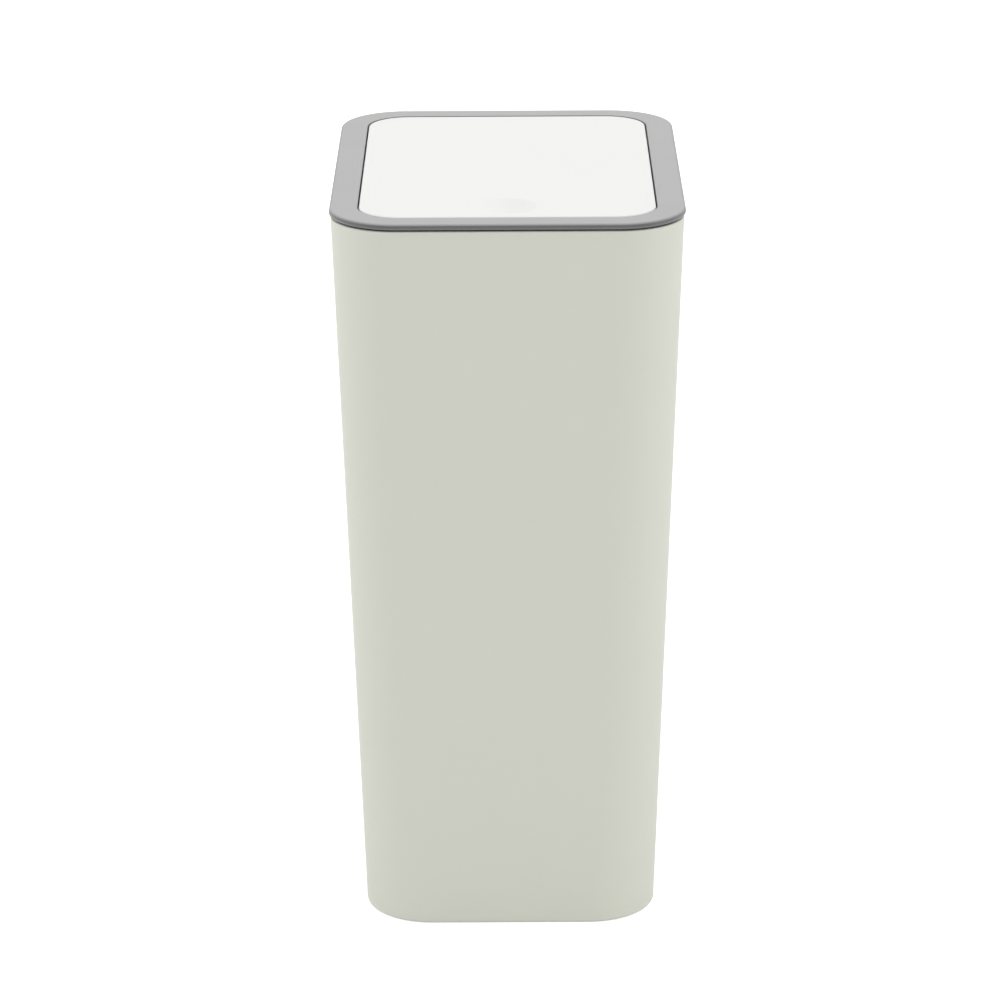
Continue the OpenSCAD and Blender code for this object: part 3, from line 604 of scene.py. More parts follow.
# The rim's rolled edge carries painted shade.
# The rim's wide edge and its lift paint a highlight along the outer edge of its top.
RIM_PLASTIC = Finish("bezel_moulding", "bezel_plastic", (0.664, 0.664, 0.666), 0.36, Grain.SATIN,
                     0.006 * MM, specular=0.4, edge_width=0.9 * MM, edge_lift=0.07,
                     roll_shade=0.74)
CHASSIS_PLASTIC = Finish("chassis_moulding", "chassis_plastic", (0.12, 0.12, 0.125), 0.55,
                         Grain.SPARK, 0.012 * MM, edge_lift=0.3)
LID_PLASTIC = Finish("lid_moulding", "lid_plastic", (0.939, 0.939, 0.933), 0.52, Grain.SATIN,
                     0.005 * MM, drift=0.01, specular=0.3)
LATCH_PLASTIC = Finish("latch_moulding", "latch_plastic", (0.20, 0.20, 0.21), 0.38, Grain.POLISH,
                       0.004 * MM, edge_lift=0.2)
PLUNGER_PLASTIC = Finish("plunger_moulding", "plunger_plastic", (0.74, 0.74, 0.745), 0.36,
                         Grain.POLISH, 0.004 * MM)
PLATED_STEEL = Finish("plated_steel", "steel", (0.72, 0.73, 0.75), 0.30, Grain.WIRE, 0.004 * MM,
                      metallic=1.0, edge_width=0.2 * MM, edge_lift=0.15)


# Sections and meshes


def arc(first: float, last: float, steps: int) -> list[float]:
    """Angles in radians, in even steps from one angle in degrees to another."""
    return [math.radians(first + (last - first) * i / steps) for i in range(steps + 1)]


def corner_of(node: str, highest: bool = True) -> Vector:
    """A dataclass field that holds the highest corner of a CAD node's box, or its lowest."""
    return field(default_factory=lambda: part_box(node)[1 if highest else 0])


@dataclass(frozen=True)
class Section:
    """A rounded rectangle at one height: half its width and depth, and its corner radius.

    On the outer skin, where the wall can sink, outer is 1.
    """

    half_w: float
    half_d: float
    corner: float
    height: float
    outer: float = 0.0

    def inset(self, by: float) -> "Section":
        """The same section moved inwards all round by a distance."""
        return replace(self, half_w=self.half_w - by, half_d=self.half_d - by,
                       corner=self.corner - by)

    def at(self, height: float) -> "Section":
        """The same section at another height."""
        return replace(self, height=height)

    def turn(self, radius: float, first: float, last: float, steps: int) -> "list[Section]":
        """The rings of an edge that bulges outwards to this section.

        Args:
            radius: The edge's radius. A negative one rounds an edge that faces inwards.
            first: The angle above the horizontal where the rings begin, in degrees.
            last: The angle where they end.
            steps: How many steps the turn takes.

        Returns:
            The rings in order.
        """
        return [self.inset(radius * (1 - math.cos(a))).at(self.height + abs(radius) * math.sin(a))
                for a in arc(first, last, steps)]


def link(name: str, mesh: bpy.types.Mesh) -> Piece:
    """Makes an object in the scene that holds a mesh.

    Args:
        name: The object's name.
        mesh: The mesh.

    Returns:
        The object.
    """
    piece = bpy.data.objects.new(name, mesh)
    bpy.context.scene.collection.objects.link(piece)
    return piece


def discard(piece: Piece) -> None:
    """Takes a helper object and its mesh out of the file.

    Args:
        piece: The object.
    """
    mesh = piece.data
    bpy.data.objects.remove(piece)
    bpy.data.meshes.remove(mesh)


def strand(name: str, points: Sequence[Point], closed: bool = False, joined: bool = True,
           **numbers: Sequence[float]) -> Piece:
    """Points in a row, with numbers kept on them, for a tree to work on.

    Args:
        name: The object's name.
        points: The points in order.
        closed: Whether the last point joins the first.
        joined: Whether the points are joined at all.
        **numbers: For each named number, one value a point.

    Returns:
        The new object.
    """
    count = len(points)
    edges = [(i, (i + 1) % count) for i in range(count if closed else count - 1)]
    mesh = bpy.data.meshes.new(name)
    mesh.from_pydata(points, edges if joined else [], [])
    for title, values in numbers.items():
        mesh.attributes.new(title, "FLOAT", "POINT").data.foreach_set("value", list(values))
    return link(name, mesh)


def settle(piece: Piece) -> Piece:
    """Turns a piece with modifiers into its plain mesh, and takes the modifiers off.

    Args:
        piece: The piece.

    Returns:
        The same piece.
    """
    graph = bpy.context.evaluated_depsgraph_get()
    mesh = bpy.data.meshes.new_from_object(piece.evaluated_get(graph), depsgraph=graph,
                                           preserve_all_data_layers=True)
    piece.modifiers.clear()
    old, piece.data = piece.data, mesh
    bpy.data.meshes.remove(old)
    mesh.name = piece.name
    return piece


def grow(piece: Piece, tree: bpy.types.NodeTree, **inputs: object) -> Piece:
    """Runs a geometry tree on a piece and keeps what it makes.

    Args:
        piece: The piece that the tree starts from.
        tree: The tree.
        **inputs: The tree's inputs, with underscores for the spaces in their names.

    Returns:
        The same piece with its new mesh.
    """
    modifier = piece.modifiers.new(tree.name, "NODES")
    modifier.node_group = tree
    identifiers = {item.name: item.identifier for item in tree.interface.items_tree
                   if item.in_out == "INPUT"}
    for name, value in inputs.items():
        modifier[identifiers[name.replace("_", " ").title()]] = value
    settle(piece)
    spent = [layer.name for layer in piece.data.attributes
             if layer.data_type == "FLOAT" and not layer.is_internal]
    for name in spent:
        piece.data.attributes.remove(piece.data.attributes[name])
    return piece


@contextmanager
def editing(source: bpy.types.Mesh, target: bpy.types.Mesh) -> Iterator[bmesh.types.BMesh]:
    """Opens a mesh for editing.

    Args:
        source: The mesh that the editing starts from.
        target: The mesh that takes the result, which may be the same.

    Yields:
        The shell to edit.
    """
    shell = bmesh.new()
    shell.from_mesh(source)
    yield shell
    shell.to_mesh(target)
    shell.free()


def close_shell(piece: Piece) -> Piece:
    """Merges a shell's doubles, caps its open ends and turns its faces outwards.

    Args:
        piece: The shell.

    Returns:
        The same piece.
    """
    with editing(piece.data, piece.data) as shell:
        bmesh.ops.remove_doubles(shell, verts=shell.verts, dist=WELD)
        ends = [edge for edge in shell.edges if edge.is_boundary]
        if ends:
            bmesh.ops.holes_fill(shell, edges=ends, sides=0)
        bmesh.ops.recalc_face_normals(shell, faces=shell.faces)
    return piece


def loft(name: str, sections: Sequence[Section], finish: Finish, closed: bool,
         corner_steps: int = 24, side_cuts: int = 0, **sink: float) -> Piece:
    """Lofts a wall through rounded-rectangle sections.

    Args:
        name: The new piece's name.
        sections: The rings that the profile passes through.
        finish: The piece's finish.
        closed: Whether the profile joins up, as round a rim. Otherwise its two ends are capped.
        corner_steps: Steps in each corner.
        side_cuts: Cuts along each straight side.
        **sink: The sizes of the sink over the inner ribs, as the tree names them.

    Returns:
        The piece, as a closed shell.
    """
    keys = ("half_w", "half_d", "corner", "height", "outer")
    numbers = {key: [getattr(section, key) for section in sections] for key in keys}
    points = [(section.half_w, 0.0, section.height) for section in sections]
    sizes = {"sink_depth": 0.0, "sink_width": MM, "sink_low": 0.0, "sink_high": 1.0,
             "sink_ease": MM, **sink}
    piece = strand(name, points, closed=closed, **numbers)
    grow(piece, LOFT, corner_steps=corner_steps, side_cuts=side_cuts, material=finish.material,
         **sizes)
    return close_shell(piece)


def wound(name: str, path: Sequence[Point], radius: float, sides: int = 14) -> Piece:
    """A round steel wire along a path, shaded smooth.

    Args:
        name: The new piece's name.
        path: The points along the wire's middle.
        radius: The wire's radius.
        sides: The number of sides of its section.

    Returns:
        The piece.
    """
    piece = grow(strand(name, path), WIRE, wire_radius=radius, sides=sides,
                 material=PLATED_STEEL.material)
    return shade(close_shell(piece), WIRE_ANGLE)


def copies(name: str, shape: Piece, places: Sequence[Point], turns: Sequence[Point],
           finish: Finish) -> Piece:
    """One piece that holds a copy of a shape at each place.

    Args:
        name: The new piece's name.
        shape: The shape, which is used up.
        places: Where the copies' origins go.
        turns: How each copy is turned, as angles about X, Y and Z in degrees.
        finish: The finish of the copies.

    Returns:
        The piece.
    """
    numbers = {"turn_" + axis: [math.radians(turn[i]) for turn in turns]
               for i, axis in enumerate("xyz")}
    piece = strand(name, places, joined=False, **numbers)
    grow(piece, COPIES, shape=shape, material=finish.material)
    discard(shape)
    return piece


def solid(name: str, points: Sequence[Point], faces: Sequence[Sequence[int]]) -> Piece:
    """A closed piece from points and faces, with its faces turned outwards.

    Args:
        name: The new piece's name.
        points: Its points.
        faces: For each face, the numbers of its points in order.

    Returns:
        The piece.
    """
    mesh = bpy.data.meshes.new(name)
    mesh.from_pydata(points, [], faces)
    return close_shell(link(name, mesh))


def prism(name: str, outline: Sequence[Flat], depth: float, bevel: float = 0.0) -> Piece:
    """An outline in X and Z, thickened along Y about Y = 0.

    Args:
        name: The new piece's name.
        outline: The outline's corners in order.
        depth: Its thickness.
        bevel: The rounding of its edges.

    Returns:
        The piece.
    """
    count = len(outline)
    points = [(x, s * depth / 2, z) for s in (-1, 1) for x, z in outline]
    faces = [list(range(count)), list(range(2 * count - 1, count - 1, -1))]
    faces += [(i, (i + 1) % count, count + (i + 1) % count, count + i) for i in range(count)]
    piece = solid(name, points, faces)
    return ease(piece, bevel) if bevel else piece


def block(name: str, low: Point, high: Point, bevel: float) -> Piece:
    """A block with rounded edges, from its lowest corner to its highest."""
    outline = [(low[0], low[2]), (high[0], low[2]), (high[0], high[2]), (low[0], high[2])]
    return place(prism(name, outline, high[1] - low[1], bevel), (0, (low[1] + high[1]) / 2, 0))


def lathe(name: str, outline: Sequence[Flat], steps: int = 48) -> Piece:
    """A turned piece: an outline of radius and height, spun about Z.

    Args:
        name: The new piece's name.
        outline: The outline from its lower middle to its upper middle, both at radius 0.
        steps: Steps round the turn.

    Returns:
        The piece.
    """
    rings = outline[1:-1]
    points = [(r * math.cos(a), r * math.sin(a), z)
              for r, z in rings for a in arc(0, 360, steps)[:-1]]
    points += [(0, 0, outline[0][1]), (0, 0, outline[-1][1])]
    low, high, last = len(points) - 2, len(points) - 1, (len(rings) - 1) * steps
    faces = []
    for i in range(steps):
        j = (i + 1) % steps
        faces += [(low, j, i), (high, last + i, last + j)]
        faces += [(row + i, row + j, row + steps + j, row + steps + i)
                  for row in range(0, last, steps)]
    return solid(name, points, faces)


def place(piece: Piece, at: Point, turn: Point = (0, 0, 0)) -> Piece:
    """Turns and moves a piece's mesh, and leaves the object at the origin.

    Args:
        piece: The piece.
        at: Where the mesh's origin goes.
        turn: How the mesh is turned first, as angles about X, Y and Z in degrees.

    Returns:
        The same piece.
    """
    rotation = Euler([math.radians(angle) for angle in turn]).to_matrix().to_4x4()
    piece.data.transform(Matrix.Translation(at) @ rotation)
    return piece


def combine(piece: Piece, tool: Piece, operation: str = "UNION") -> Piece:
    """Joins one solid to another, or cuts it away.

    Args:
        piece: The solid that is kept.
        tool: The solid that is used up.
        operation: UNION or DIFFERENCE.

    Returns:
        The first piece with its new mesh.
    """
    modifier = piece.modifiers.new("combine", "BOOLEAN")
    modifier.object = tool
    modifier.operation = operation
    modifier.solver = "EXACT"
    settle(piece)
    discard(tool)
    return piece


def ease(piece: Piece, width: float) -> Piece:
    """Rounds a piece's sharp edges.

    Args:
        piece: The piece.
        width: The width of the rounding.

    Returns:
        The same piece.
    """
    modifier = piece.modifiers.new("ease", "BEVEL")
    modifier.width = width
    modifier.segments = EASE_STEPS
    modifier.limit_method = "ANGLE"
    modifier.angle_limit = math.radians(EASE_ANGLE)
    return settle(piece)


def shade(piece: Piece, angle: float = CRISP_ANGLE) -> Piece:
    """Shades a piece smooth, with crisp edges where it turns sharply and flats kept flat.

    Args:
        piece: The piece.
        angle: Edges sharper than this stay crisp, in degrees.

    Returns:
        The same piece.
    """
    mesh = piece.data
    mesh.polygons.foreach_set("use_smooth", [True] * len(mesh.polygons))
    mesh.set_sharp_from_angle(angle=math.radians(angle))
    modifier = piece.modifiers.new("level", "WEIGHTED_NORMAL")
    modifier.keep_sharp = True
    modifier.weight = AREA_WEIGHT
    return settle(piece)


def both_sides(x: float, y: float, z: float) -> list[Point]:
    """A place on the left side and the same place on the right."""
    return [(side.value * x, y, z) for side in Side]


def cad_copy(node: str, name: str) -> Piece:
    """A fine copy of a CAD node, with its triangles merged into whole faces and shaded well.

    Args:
        node: The CAD node.
        name: The copy's name.

    Returns:
        The new piece.
    """
    mesh = bpy.data.meshes.new(name)
    with editing(frame["nodes"][node].data, mesh) as shell:
        bmesh.ops.remove_doubles(shell, verts=shell.verts, dist=CAD_WELD)
        bmesh.ops.dissolve_limit(shell, angle_limit=math.radians(FLAT_ANGLE), verts=shell.verts,
                                 edges=shell.edges, delimit={"NORMAL"})
    return shade(link(name, mesh))


def finish_piece(piece: Piece, finish: Finish, *nodes: str) -> Piece:
    """Gives a piece its finish and says which CAD nodes it stands for.

    Args:
        piece: The piece.
        finish: Its finish.
        *nodes: The CAD nodes that it replaces.

    Returns:
        The same piece.
    """
    mesh = piece.data
    mesh.materials.clear()
    mesh.materials.append(finish.material)
    mesh.polygons.foreach_set("material_index", [0] * len(mesh.polygons))
    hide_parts(*nodes)
    return piece


def fit(piece: Piece, finish: Finish, body: Body, *nodes: str) -> Piece:
    """Finishes a piece and fixes it to the body that it moves with."""
    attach(finish_piece(piece, finish, *nodes), body.value)
    return piece


def carry_over(node: str, name: str, finish: Finish, body: Body) -> Piece:
    """Puts a finished copy in the place of a CAD node whose shape is kept."""
    return fit(cad_copy(node, name), finish, body, node)


# Sub-assemblies


class SubAssembly:
    """A group of pieces that are made and finished together."""

    def dress(self) -> list[Piece]:
        """Builds the pieces and finishes them."""
        raise NotImplementedError


@dataclass
class Pail(SubAssembly):
    """The tapered pail: thin walls of even draft, a raised floor, a foot and stacking ribs."""

    reach: Vector = corner_of("pail")
    draft: float = 10.45 * MM
    top_corner: float = 27.4 * MM
    base_corner: float = 29.3 * MM
    wall: float = 2.0 * MM
    floor_top: float = 4.0 * MM
    recess: float = 1.5 * MM
    foot: float = 5.0 * MM
    foot_round: float = 0.3 * MM
    base_round: float = 1.2 * MM
    mouth_round: float = 0.6 * MM
    lip_round: float = 0.4 * MM
    floor_round: float = 3.0 * MM
    wall_rows: int = 60
    rib_low: float = 217 * MM
    rib_len: float = 58 * MM
    rib_in: float = 4.0 * MM
    rib_t: float = 1.6 * MM
    rib_toe: float = 0.3 * MM
    rib_round: float = 0.35 * MM
    sink_depth: float = 0.06 * MM
    sink_width: float = 2.2 * MM
    sink_ease: float = 8.0 * MM

    def ring(self, height: float, inset: float = 0.0) -> Section:
        """The pail's outline at a height.

        Args:
            height: The height.
            inset: How far the outline lies inside the pail's outside.

        Returns:
            The outline.
        """
        down = 1 - height / self.reach.z
        narrowing = self.draft * down
        corner = self.top_corner + (self.base_corner - self.top_corner) * down
        outside = Section(self.reach.x - narrowing, self.reach.y - narrowing, corner, height)
        return outside.inset(inset)

    def bend(self, flat: float, wall: float, radius: float, rising: bool,
             steps: int = 6) -> list[Section]:
        """The rings of the rounding between a flat face and a wall.

        Args:
            flat: The height of the flat face.
            wall: How far the wall lies inside the pail's outside.
            radius: The radius of the rounding. A negative one turns towards the inner wall.
            rising: Whether the wall rises from the flat face.
            steps: Steps in the turn.

        Returns:
            The rings from the flat face to the wall.
        """
        sign = 1 if rising else -1
        return [self.ring(flat + sign * abs(radius) * (1 - math.cos(a)),
                          wall + radius * (1 - math.sin(a))) for a in arc(0, 90, steps)]

    def profile(self) -> list[Section]:
        """The pail's profile.

        Returns:
            The rings from the recess under the floor, over the outside, to the inner floor.
        """
        top = self.reach.z
        recess = self.ring(0, self.foot + self.foot_round).at(self.recess)
        foot = self.bend(0, self.foot, -self.foot_round, rising=True, steps=3)[::-1]
        low, high = self.base_round, top - self.mouth_round
        rows = [low + (high - low) * i / self.wall_rows for i in range(1, self.wall_rows)]
        walls = [replace(self.ring(height), outer=1.0) for height in rows]
        lip = self.bend(top, self.wall, -self.lip_round, rising=False, steps=4)
        floor = self.bend(self.floor_top, self.wall, self.floor_round, rising=True)[::-1]
        return [recess, *foot, *self.bend(0, 0, self.base_round, rising=True), *walls,
                *self.bend(top, 0, self.mouth_round, rising=False)[::-1], *lip, *floor]

    def rib(self, across_depth: bool) -> Piece:
        """One stacking rib, against the wall at +X.

        Args:
            across_depth: Whether the rib's place is at the front or the back, where the wall is
                as far out as the pail is deep.

        Returns:
            The rib.
        """
        low, high = self.rib_low, self.rib_low + self.rib_len
        near, far = (self.ring(height, self.wall) for height in (low, high))
        inner, outer = ((s.half_d if across_depth else s.half_w) for s in (near, far))
        root = self.wall / 2
        outline = [(inner + root, low), (inner - self.rib_toe, low),
                   (inner - self.rib_in, low + 2 * self.rib_in), (inner - self.rib_in, high),
                   (outer + root, high)]
        return prism("rib", outline, self.rib_t, self.rib_round)

    def shell(self) -> Piece:
        """Builds the pail with its four ribs.

        Returns:
            The pail.
        """
        sink = {"sink_depth": self.sink_depth, "sink_width": self.sink_width,
                "sink_low": self.rib_low, "sink_high": self.rib_low + self.rib_len,
                "sink_ease": self.sink_ease}
        pail = loft("pail_shell", self.profile(), PAIL_PLASTIC, closed=False, corner_steps=28,
                    side_cuts=15, **sink)
        for across_depth, angles in ((False, (0, 180)), (True, (90, 270))):
            turns = [(0, 0, angle) for angle in angles]
            ribs = copies("ribs", self.rib(across_depth), [(0, 0, 0)] * 2, turns, PAIL_PLASTIC)
            combine(pail, ribs)
        return shade(pail)

    def dress(self) -> list[Piece]:
        """Builds the pail and finishes it."""
        return [fit(self.shell(), PAIL_PLASTIC, Body.BIN, "pail")]


@dataclass
class RimFrame(SubAssembly):
    """The grey bezel and the black chassis under it, which lift off the pail together."""

    reach: Vector = corner_of("rim_bezel")
    pail: Vector = corner_of("pail")
    hinge_y: float = HINGE_AXIS[1]
    corner: float = 29 * MM
    border: float = 11.6 * MM
    side_border: float = 11.95 * MM
    opening_corner: float = 18.9 * MM
    edge: float = 2.4 * MM
    plate: float = 1.6 * MM
    lip: float = 1.45 * MM
    inner_lip: float = 4.5 * MM
    inner_wall: float = 1.6 * MM
    roll: float = 1.5 * MM
    under: float = 0.6 * MM
    inner_round: float = 0.35 * MM
    clip_drop: float = 2.2 * MM
    clip_w: float = 6.0 * MM
    clip_t: float = 1.1 * MM
    clip_hook: float = 0.5 * MM
    clip_room: float = 0.15 * MM
    clip_round: float = 0.1 * MM
    clip_in: float = 6.525 * MM
    front_clip: float = 98 * MM
    back_clip: float = 46 * MM
    end_clip: float = 42 * MM

    def outside(self, height: float) -> Section:
        """The bezel's widest outline at a height."""
        return Section(self.reach.x, self.reach.y, self.corner, height)

    def opening(self, height: float) -> Section:
        """The outline of the lid opening at a height."""
        return Section(self.reach.x - self.side_border, self.reach.y - self.border,
                       self.opening_corner, height)

    def profile(self) -> list[Section]:
        """The bezel's closed profile.

        Returns:
            The rings from the inside of its outer lip, over its top and down round the opening.
        """
        top, low = self.reach.z, self.reach.z - self.edge
        lip = self.outside(low).inset(self.lip)
        hem = self.outside(low + self.under).turn(self.under, -90, 0, steps=7)
        roll = self.outside(top - self.roll).turn(self.roll, 0, 90, steps=14)
        throat = self.opening(top - self.inner_round).turn(-self.inner_round, 90, 0, steps=5)
        foot = self.opening(top - self.inner_lip + self.inner_round)
        inner_foot = foot.turn(-self.inner_round, 0, -90, steps=4)
        outer = self.border - self.inner_wall
        skirt = Section(self.reach.x - outer, self.reach.y - outer,
                        self.opening_corner + self.inner_wall, top - self.inner_lip)
        return [lip, *hem, *roll, *throat, *inner_foot, skirt, skirt.at(top - self.plate),
                lip.at(top - self.plate)]

    def clip(self) -> Piece:
        """Builds one clip.

        Returns:
            The clip, with the pail's top edge at its z = 0 and its hook towards +X.
        """
        half, hook = self.clip_t / 2, self.clip_t / 2 + self.clip_hook
        root = self.reach.z - self.plate / 2 - self.pail.z
        outline = [(-half, root), (-half, -self.clip_drop), (half, -self.clip_drop),
                   (hook, -self.clip_drop / 2), (hook, -self.clip_room),
                   (half, -self.clip_room), (half, root)]
        return prism("clip", outline, self.clip_w, self.clip_round)

    def clips(self) -> Piece:
        """Sets out the eight clips that hang from the bezel's plate through the chassis.

        Returns:
            The clips as one piece.
        """
        x, y, z = self.reach.x - self.clip_in, self.reach.y - self.clip_in, self.pail.z
        rows = (self.hinge_y - self.front_clip, self.hinge_y - self.back_clip)
        end_x = self.reach.x - self.end_clip
        spots = [((side.value * x, row, z), 90 - 90 * side.value) for side in Side for row in rows]
        spots += [((side.value * end_x, s * y, z), 90 * s) for side in Side for s in (-1, 1)]
        return copies("clips", self.clip(), [spot for spot, _ in spots],
                      [(0, 0, angle) for _, angle in spots], RIM_PLASTIC)

    def bezel(self) -> Piece:
        """Builds the rim with its clips."""
        ring = loft("bezel_ring", self.profile(), RIM_PLASTIC, closed=True)
        return shade(combine(ring, self.clips()))

    def dress(self) -> list[Piece]:
        """Builds the bezel and the chassis and finishes them."""
        chassis = carry_over("inner_chassis", "chassis_body", CHASSIS_PLASTIC, Body.FRAME)
        return [fit(self.bezel(), RIM_PLASTIC, Body.FRAME, "rim_bezel"), chassis]


@dataclass
class Screw:
    """A cross-recessed screw along +Z, seated at z = 0.

    Attributes:
        brow: The radius of a pan head's shoulder, whose straight rim is rim_share of its height.
        seat_edge: The chamfer under a pan head.
        land: The width of a countersunk head's edge.
        thread_in: The depth of the thread. Each of its flanks takes a share of the pitch.
        point: The length of the point, whose tip is tip_share of the shank.
    """

    head: Head
    length: float
    shank: float = 1.25 * MM
    head_r: float = 2.6 * MM
    head_h: float = 1.6 * MM
    brow: float = 0.9 * MM
    rim_share: float = 0.35
    seat_edge: float = 0.1 * MM
    land: float = 0.05 * MM
    pitch: float = 0.8 * MM
    thread_in: float = 0.15 * MM
    flank: float = 0.3
    point: float = 0.8 * MM
    tip_share: float = 0.5
    recess_w: float = 0.8 * MM
    recess_len: float = 2.8 * MM
    recess_deep: float = 0.8 * MM
    steps: int = 32

    def outline(self) -> list[Flat]:
        """The turned outline.

        Returns:
            The outline's radii and heights, from the middle of the head's face to the point.
        """
        if self.head is Head.PAN:
            flat, rim = self.head_r - self.brow, self.rim_share * self.head_h
            dome = [(flat + self.brow * math.sin(a), -rim - (self.head_h - rim) * math.cos(a))
                    for a in arc(0, 90, 6)]
            face = [(0, -self.head_h), *dome, (self.head_r, -self.seat_edge),
                    (self.head_r - self.seat_edge, 0), (self.shank, 0)]
        else:
            face = [(0, 0), (self.head_r - self.land, 0), (self.head_r, self.land),
                    (self.shank, self.head_r - self.shank)]
        start, end = face[-1][1] + self.pitch, self.length - self.point
        groove = ((0, 0), (self.thread_in, self.flank), (self.thread_in, 1 - self.flank))
        thread = [(self.shank - inward, start + self.pitch * (i + share))
                  for i in range(int((end - start) / self.pitch)) for inward, share in groove]
        return [*face, *thread, (self.shank, end), (self.tip_share * self.shank, self.length),
                (0, self.length)]

    def recess(self) -> Piece:
        """Builds the cross that the driver fits.

        Returns:
            The cross, as a solid to cut away.
        """
        half, arm = self.recess_w / 2, self.recess_len / 2
        quarter = [(arm, half), (half, half), (half, arm)]
        cross = [spot for x, z in ((1, 1), (-1, 1), (-1, -1), (1, -1))
                 for spot in [(x * a, z * b) for a, b in quarter[::x * z]]]
        top = self.outline()[0][1]
        return place(prism("recess", cross, 2 * self.recess_deep), (0, 0, top), (90, 0, 0))

    def build(self) -> Piece:
        """Turns the screw and cuts its recess."""
        screw = lathe("screw", self.outline(), self.steps)
        return shade(combine(screw, self.recess(), "DIFFERENCE"), SCREW_ANGLE)


@dataclass
class Lid(SubAssembly):
    """The white cover with its finger dish, and the ribbed carrier that it is screwed to.

    Attributes:
        dish_ease: How gently the dish leaves the flat of the top, above 1.
        level: A face that faces up by more than this is flat.
        bulge_in: How much narrower than the dish the disc under it is.
        notch_past: How far the notches reach past the edge that they cut.
        screw_turn: How much further each screw is turned than the one before, in degrees.
    """

    low: Vector = corner_of("lid_cover", highest=False)
    reach: Vector = corner_of("lid_cover")
    hinge_y: float = HINGE_AXIS[1]
    hinge_z: float = HINGE_AXIS[2]
    corner: float = 18.0 * MM
    top: float = 2.2 * MM
    wall: float = 1.8 * MM
    roll: float = 0.8 * MM
    hem: float = 0.25 * MM
    fillet: float = 0.6 * MM
    dish_r: float = 13.6 * MM
    dish_depth: float = 1.2 * MM
    dish_back: float = 17.6 * MM
    dish_ease: float = 1.25
    level: float = 0.99
    dish_rings: int = 18
    dish_steps: int = 72
    bulge_in: float = 0.6 * MM
    bulge_edge: float = 0.3 * MM
    boss_r: float = 3.0 * MM
    boss_hole: float = 1.3 * MM
    boss_low: float = 316.4 * MM
    boss_floor: float = 0.3 * MM
    notch_r: float = 4.3 * MM
    notch_past: float = 1.0 * MM
    pad_w: float = 6.0 * MM
    pad_d: float = 8.0 * MM
    pad_round: float = 0.2 * MM
    pad_low: float = 317.85 * MM
    pad_x: float = 50.8 * MM
    pad_in: float = 13 * MM
    screw_inset: float = 15 * MM
    screw_mid: float = 50 * MM
    screw_front: float = 30.5 * MM
    screw_z: float = 314.4 * MM
    screw_len: float = 4.5 * MM
    screw_turn: float = 15

    @property
    def under(self) -> float:
        """The height of the cover's underside."""
        return self.reach.z - self.top

    @property
    def dish_y(self) -> float:
        """The Y of the dish's middle."""
        return self.dish_back - self.reach.y

    @cached_property
    def cover_plastic(self) -> Finish:
        """The lid's plastic, with painted shade on the dish of this cover, darker to the right."""
        return replace(LID_PLASTIC, name="cover_moulding", shade_spot_r=self.dish_r,
                       shade_spot_at=(0, self.dish_y, self.reach.z))

    @property
    def screw_spots(self) -> list[Flat]:
        """The places of the six screws.

        Returns:
            The X and Y of each screw.
        """
        x = self.reach.x - self.screw_inset
        rows = (self.reach.y - self.screw_inset, self.hinge_y - self.screw_mid,
                self.screw_front - self.reach.y)
        return [(side.value * x, y) for side in Side for y in rows]

    def outline(self, height: float) -> Section:
        """The cover's outline at a height."""
        return Section(self.reach.x, self.reach.y, self.corner, height)

    def profile(self) -> list[Section]:
        """The cover's profile.

        Returns:
            The rings from the underside of the top, round the edge, to the flat of the top.
        """
        low = self.under - self.fillet
        inner = self.outline(low).inset(self.wall + self.fillet)
        cove = [inner.inset(-self.fillet * math.sin(a)).at(low + self.fillet * math.cos(a))
                for a in arc(0, 90, 4)]
        foot = self.outline(self.low.z + self.hem)
        inner_hem = foot.inset(self.wall).turn(-self.hem, 0, -90, steps=3)
        outer_hem = foot.turn(self.hem, -90, 0, steps=3)
        roll = self.outline(self.reach.z - self.roll).turn(self.roll, 0, 90, steps=10)
        return [*cove, *inner_hem, *outer_hem, *roll]

    def dish(self) -> list[list[Point]]:
        """The rings of the finger dish.

        Returns:
            The points of each ring, from the dish's lip inwards.
        """
        rings = []
        for i in range(self.dish_rings):
            share = 1 - i / self.dish_rings
            radius = self.dish_r * share
            depth = self.dish_depth * (1 - share ** 2) ** self.dish_ease
            rings.append([(radius * math.cos(a), self.dish_y + radius * math.sin(a),
                           self.reach.z - depth) for a in arc(0, 360, self.dish_steps)[:-1]])
        return rings

    def press_dish(self, cover: Piece) -> Piece:
        """Swaps the cover's flat top for one with the finger dish, eased in at its lip.

        Args:
            cover: The cover.

        Returns:
            The same piece.
        """
        with editing(cover.data, cover.data) as shell:
            flat = max((face for face in shell.faces if face.normal.z > self.level),
                       key=lambda face: face.calc_center_median().z)
            border = list(flat.edges)
            bmesh.ops.delete(shell, geom=[flat], context="FACES_ONLY")
            rings = [[shell.verts.new(point) for point in ring] for ring in self.dish()]
            middle = shell.verts.new((0, self.dish_y, self.reach.z - self.dish_depth))
            for i in range(self.dish_steps):
                j = (i + 1) % self.dish_steps
                for outer, inner in zip(rings, rings[1:]):
                    shell.faces.new((outer[i], outer[j], inner[j], inner[i]))
                shell.faces.new((rings[-1][i], rings[-1][j], middle))
            lip = [shell.edges.get((rings[0][i], rings[0][(i + 1) % self.dish_steps]))
                   for i in range(self.dish_steps)]
            bmesh.ops.triangle_fill(shell, edges=border + lip, use_beauty=True)
            bmesh.ops.recalc_face_normals(shell, faces=shell.faces)
        return cover

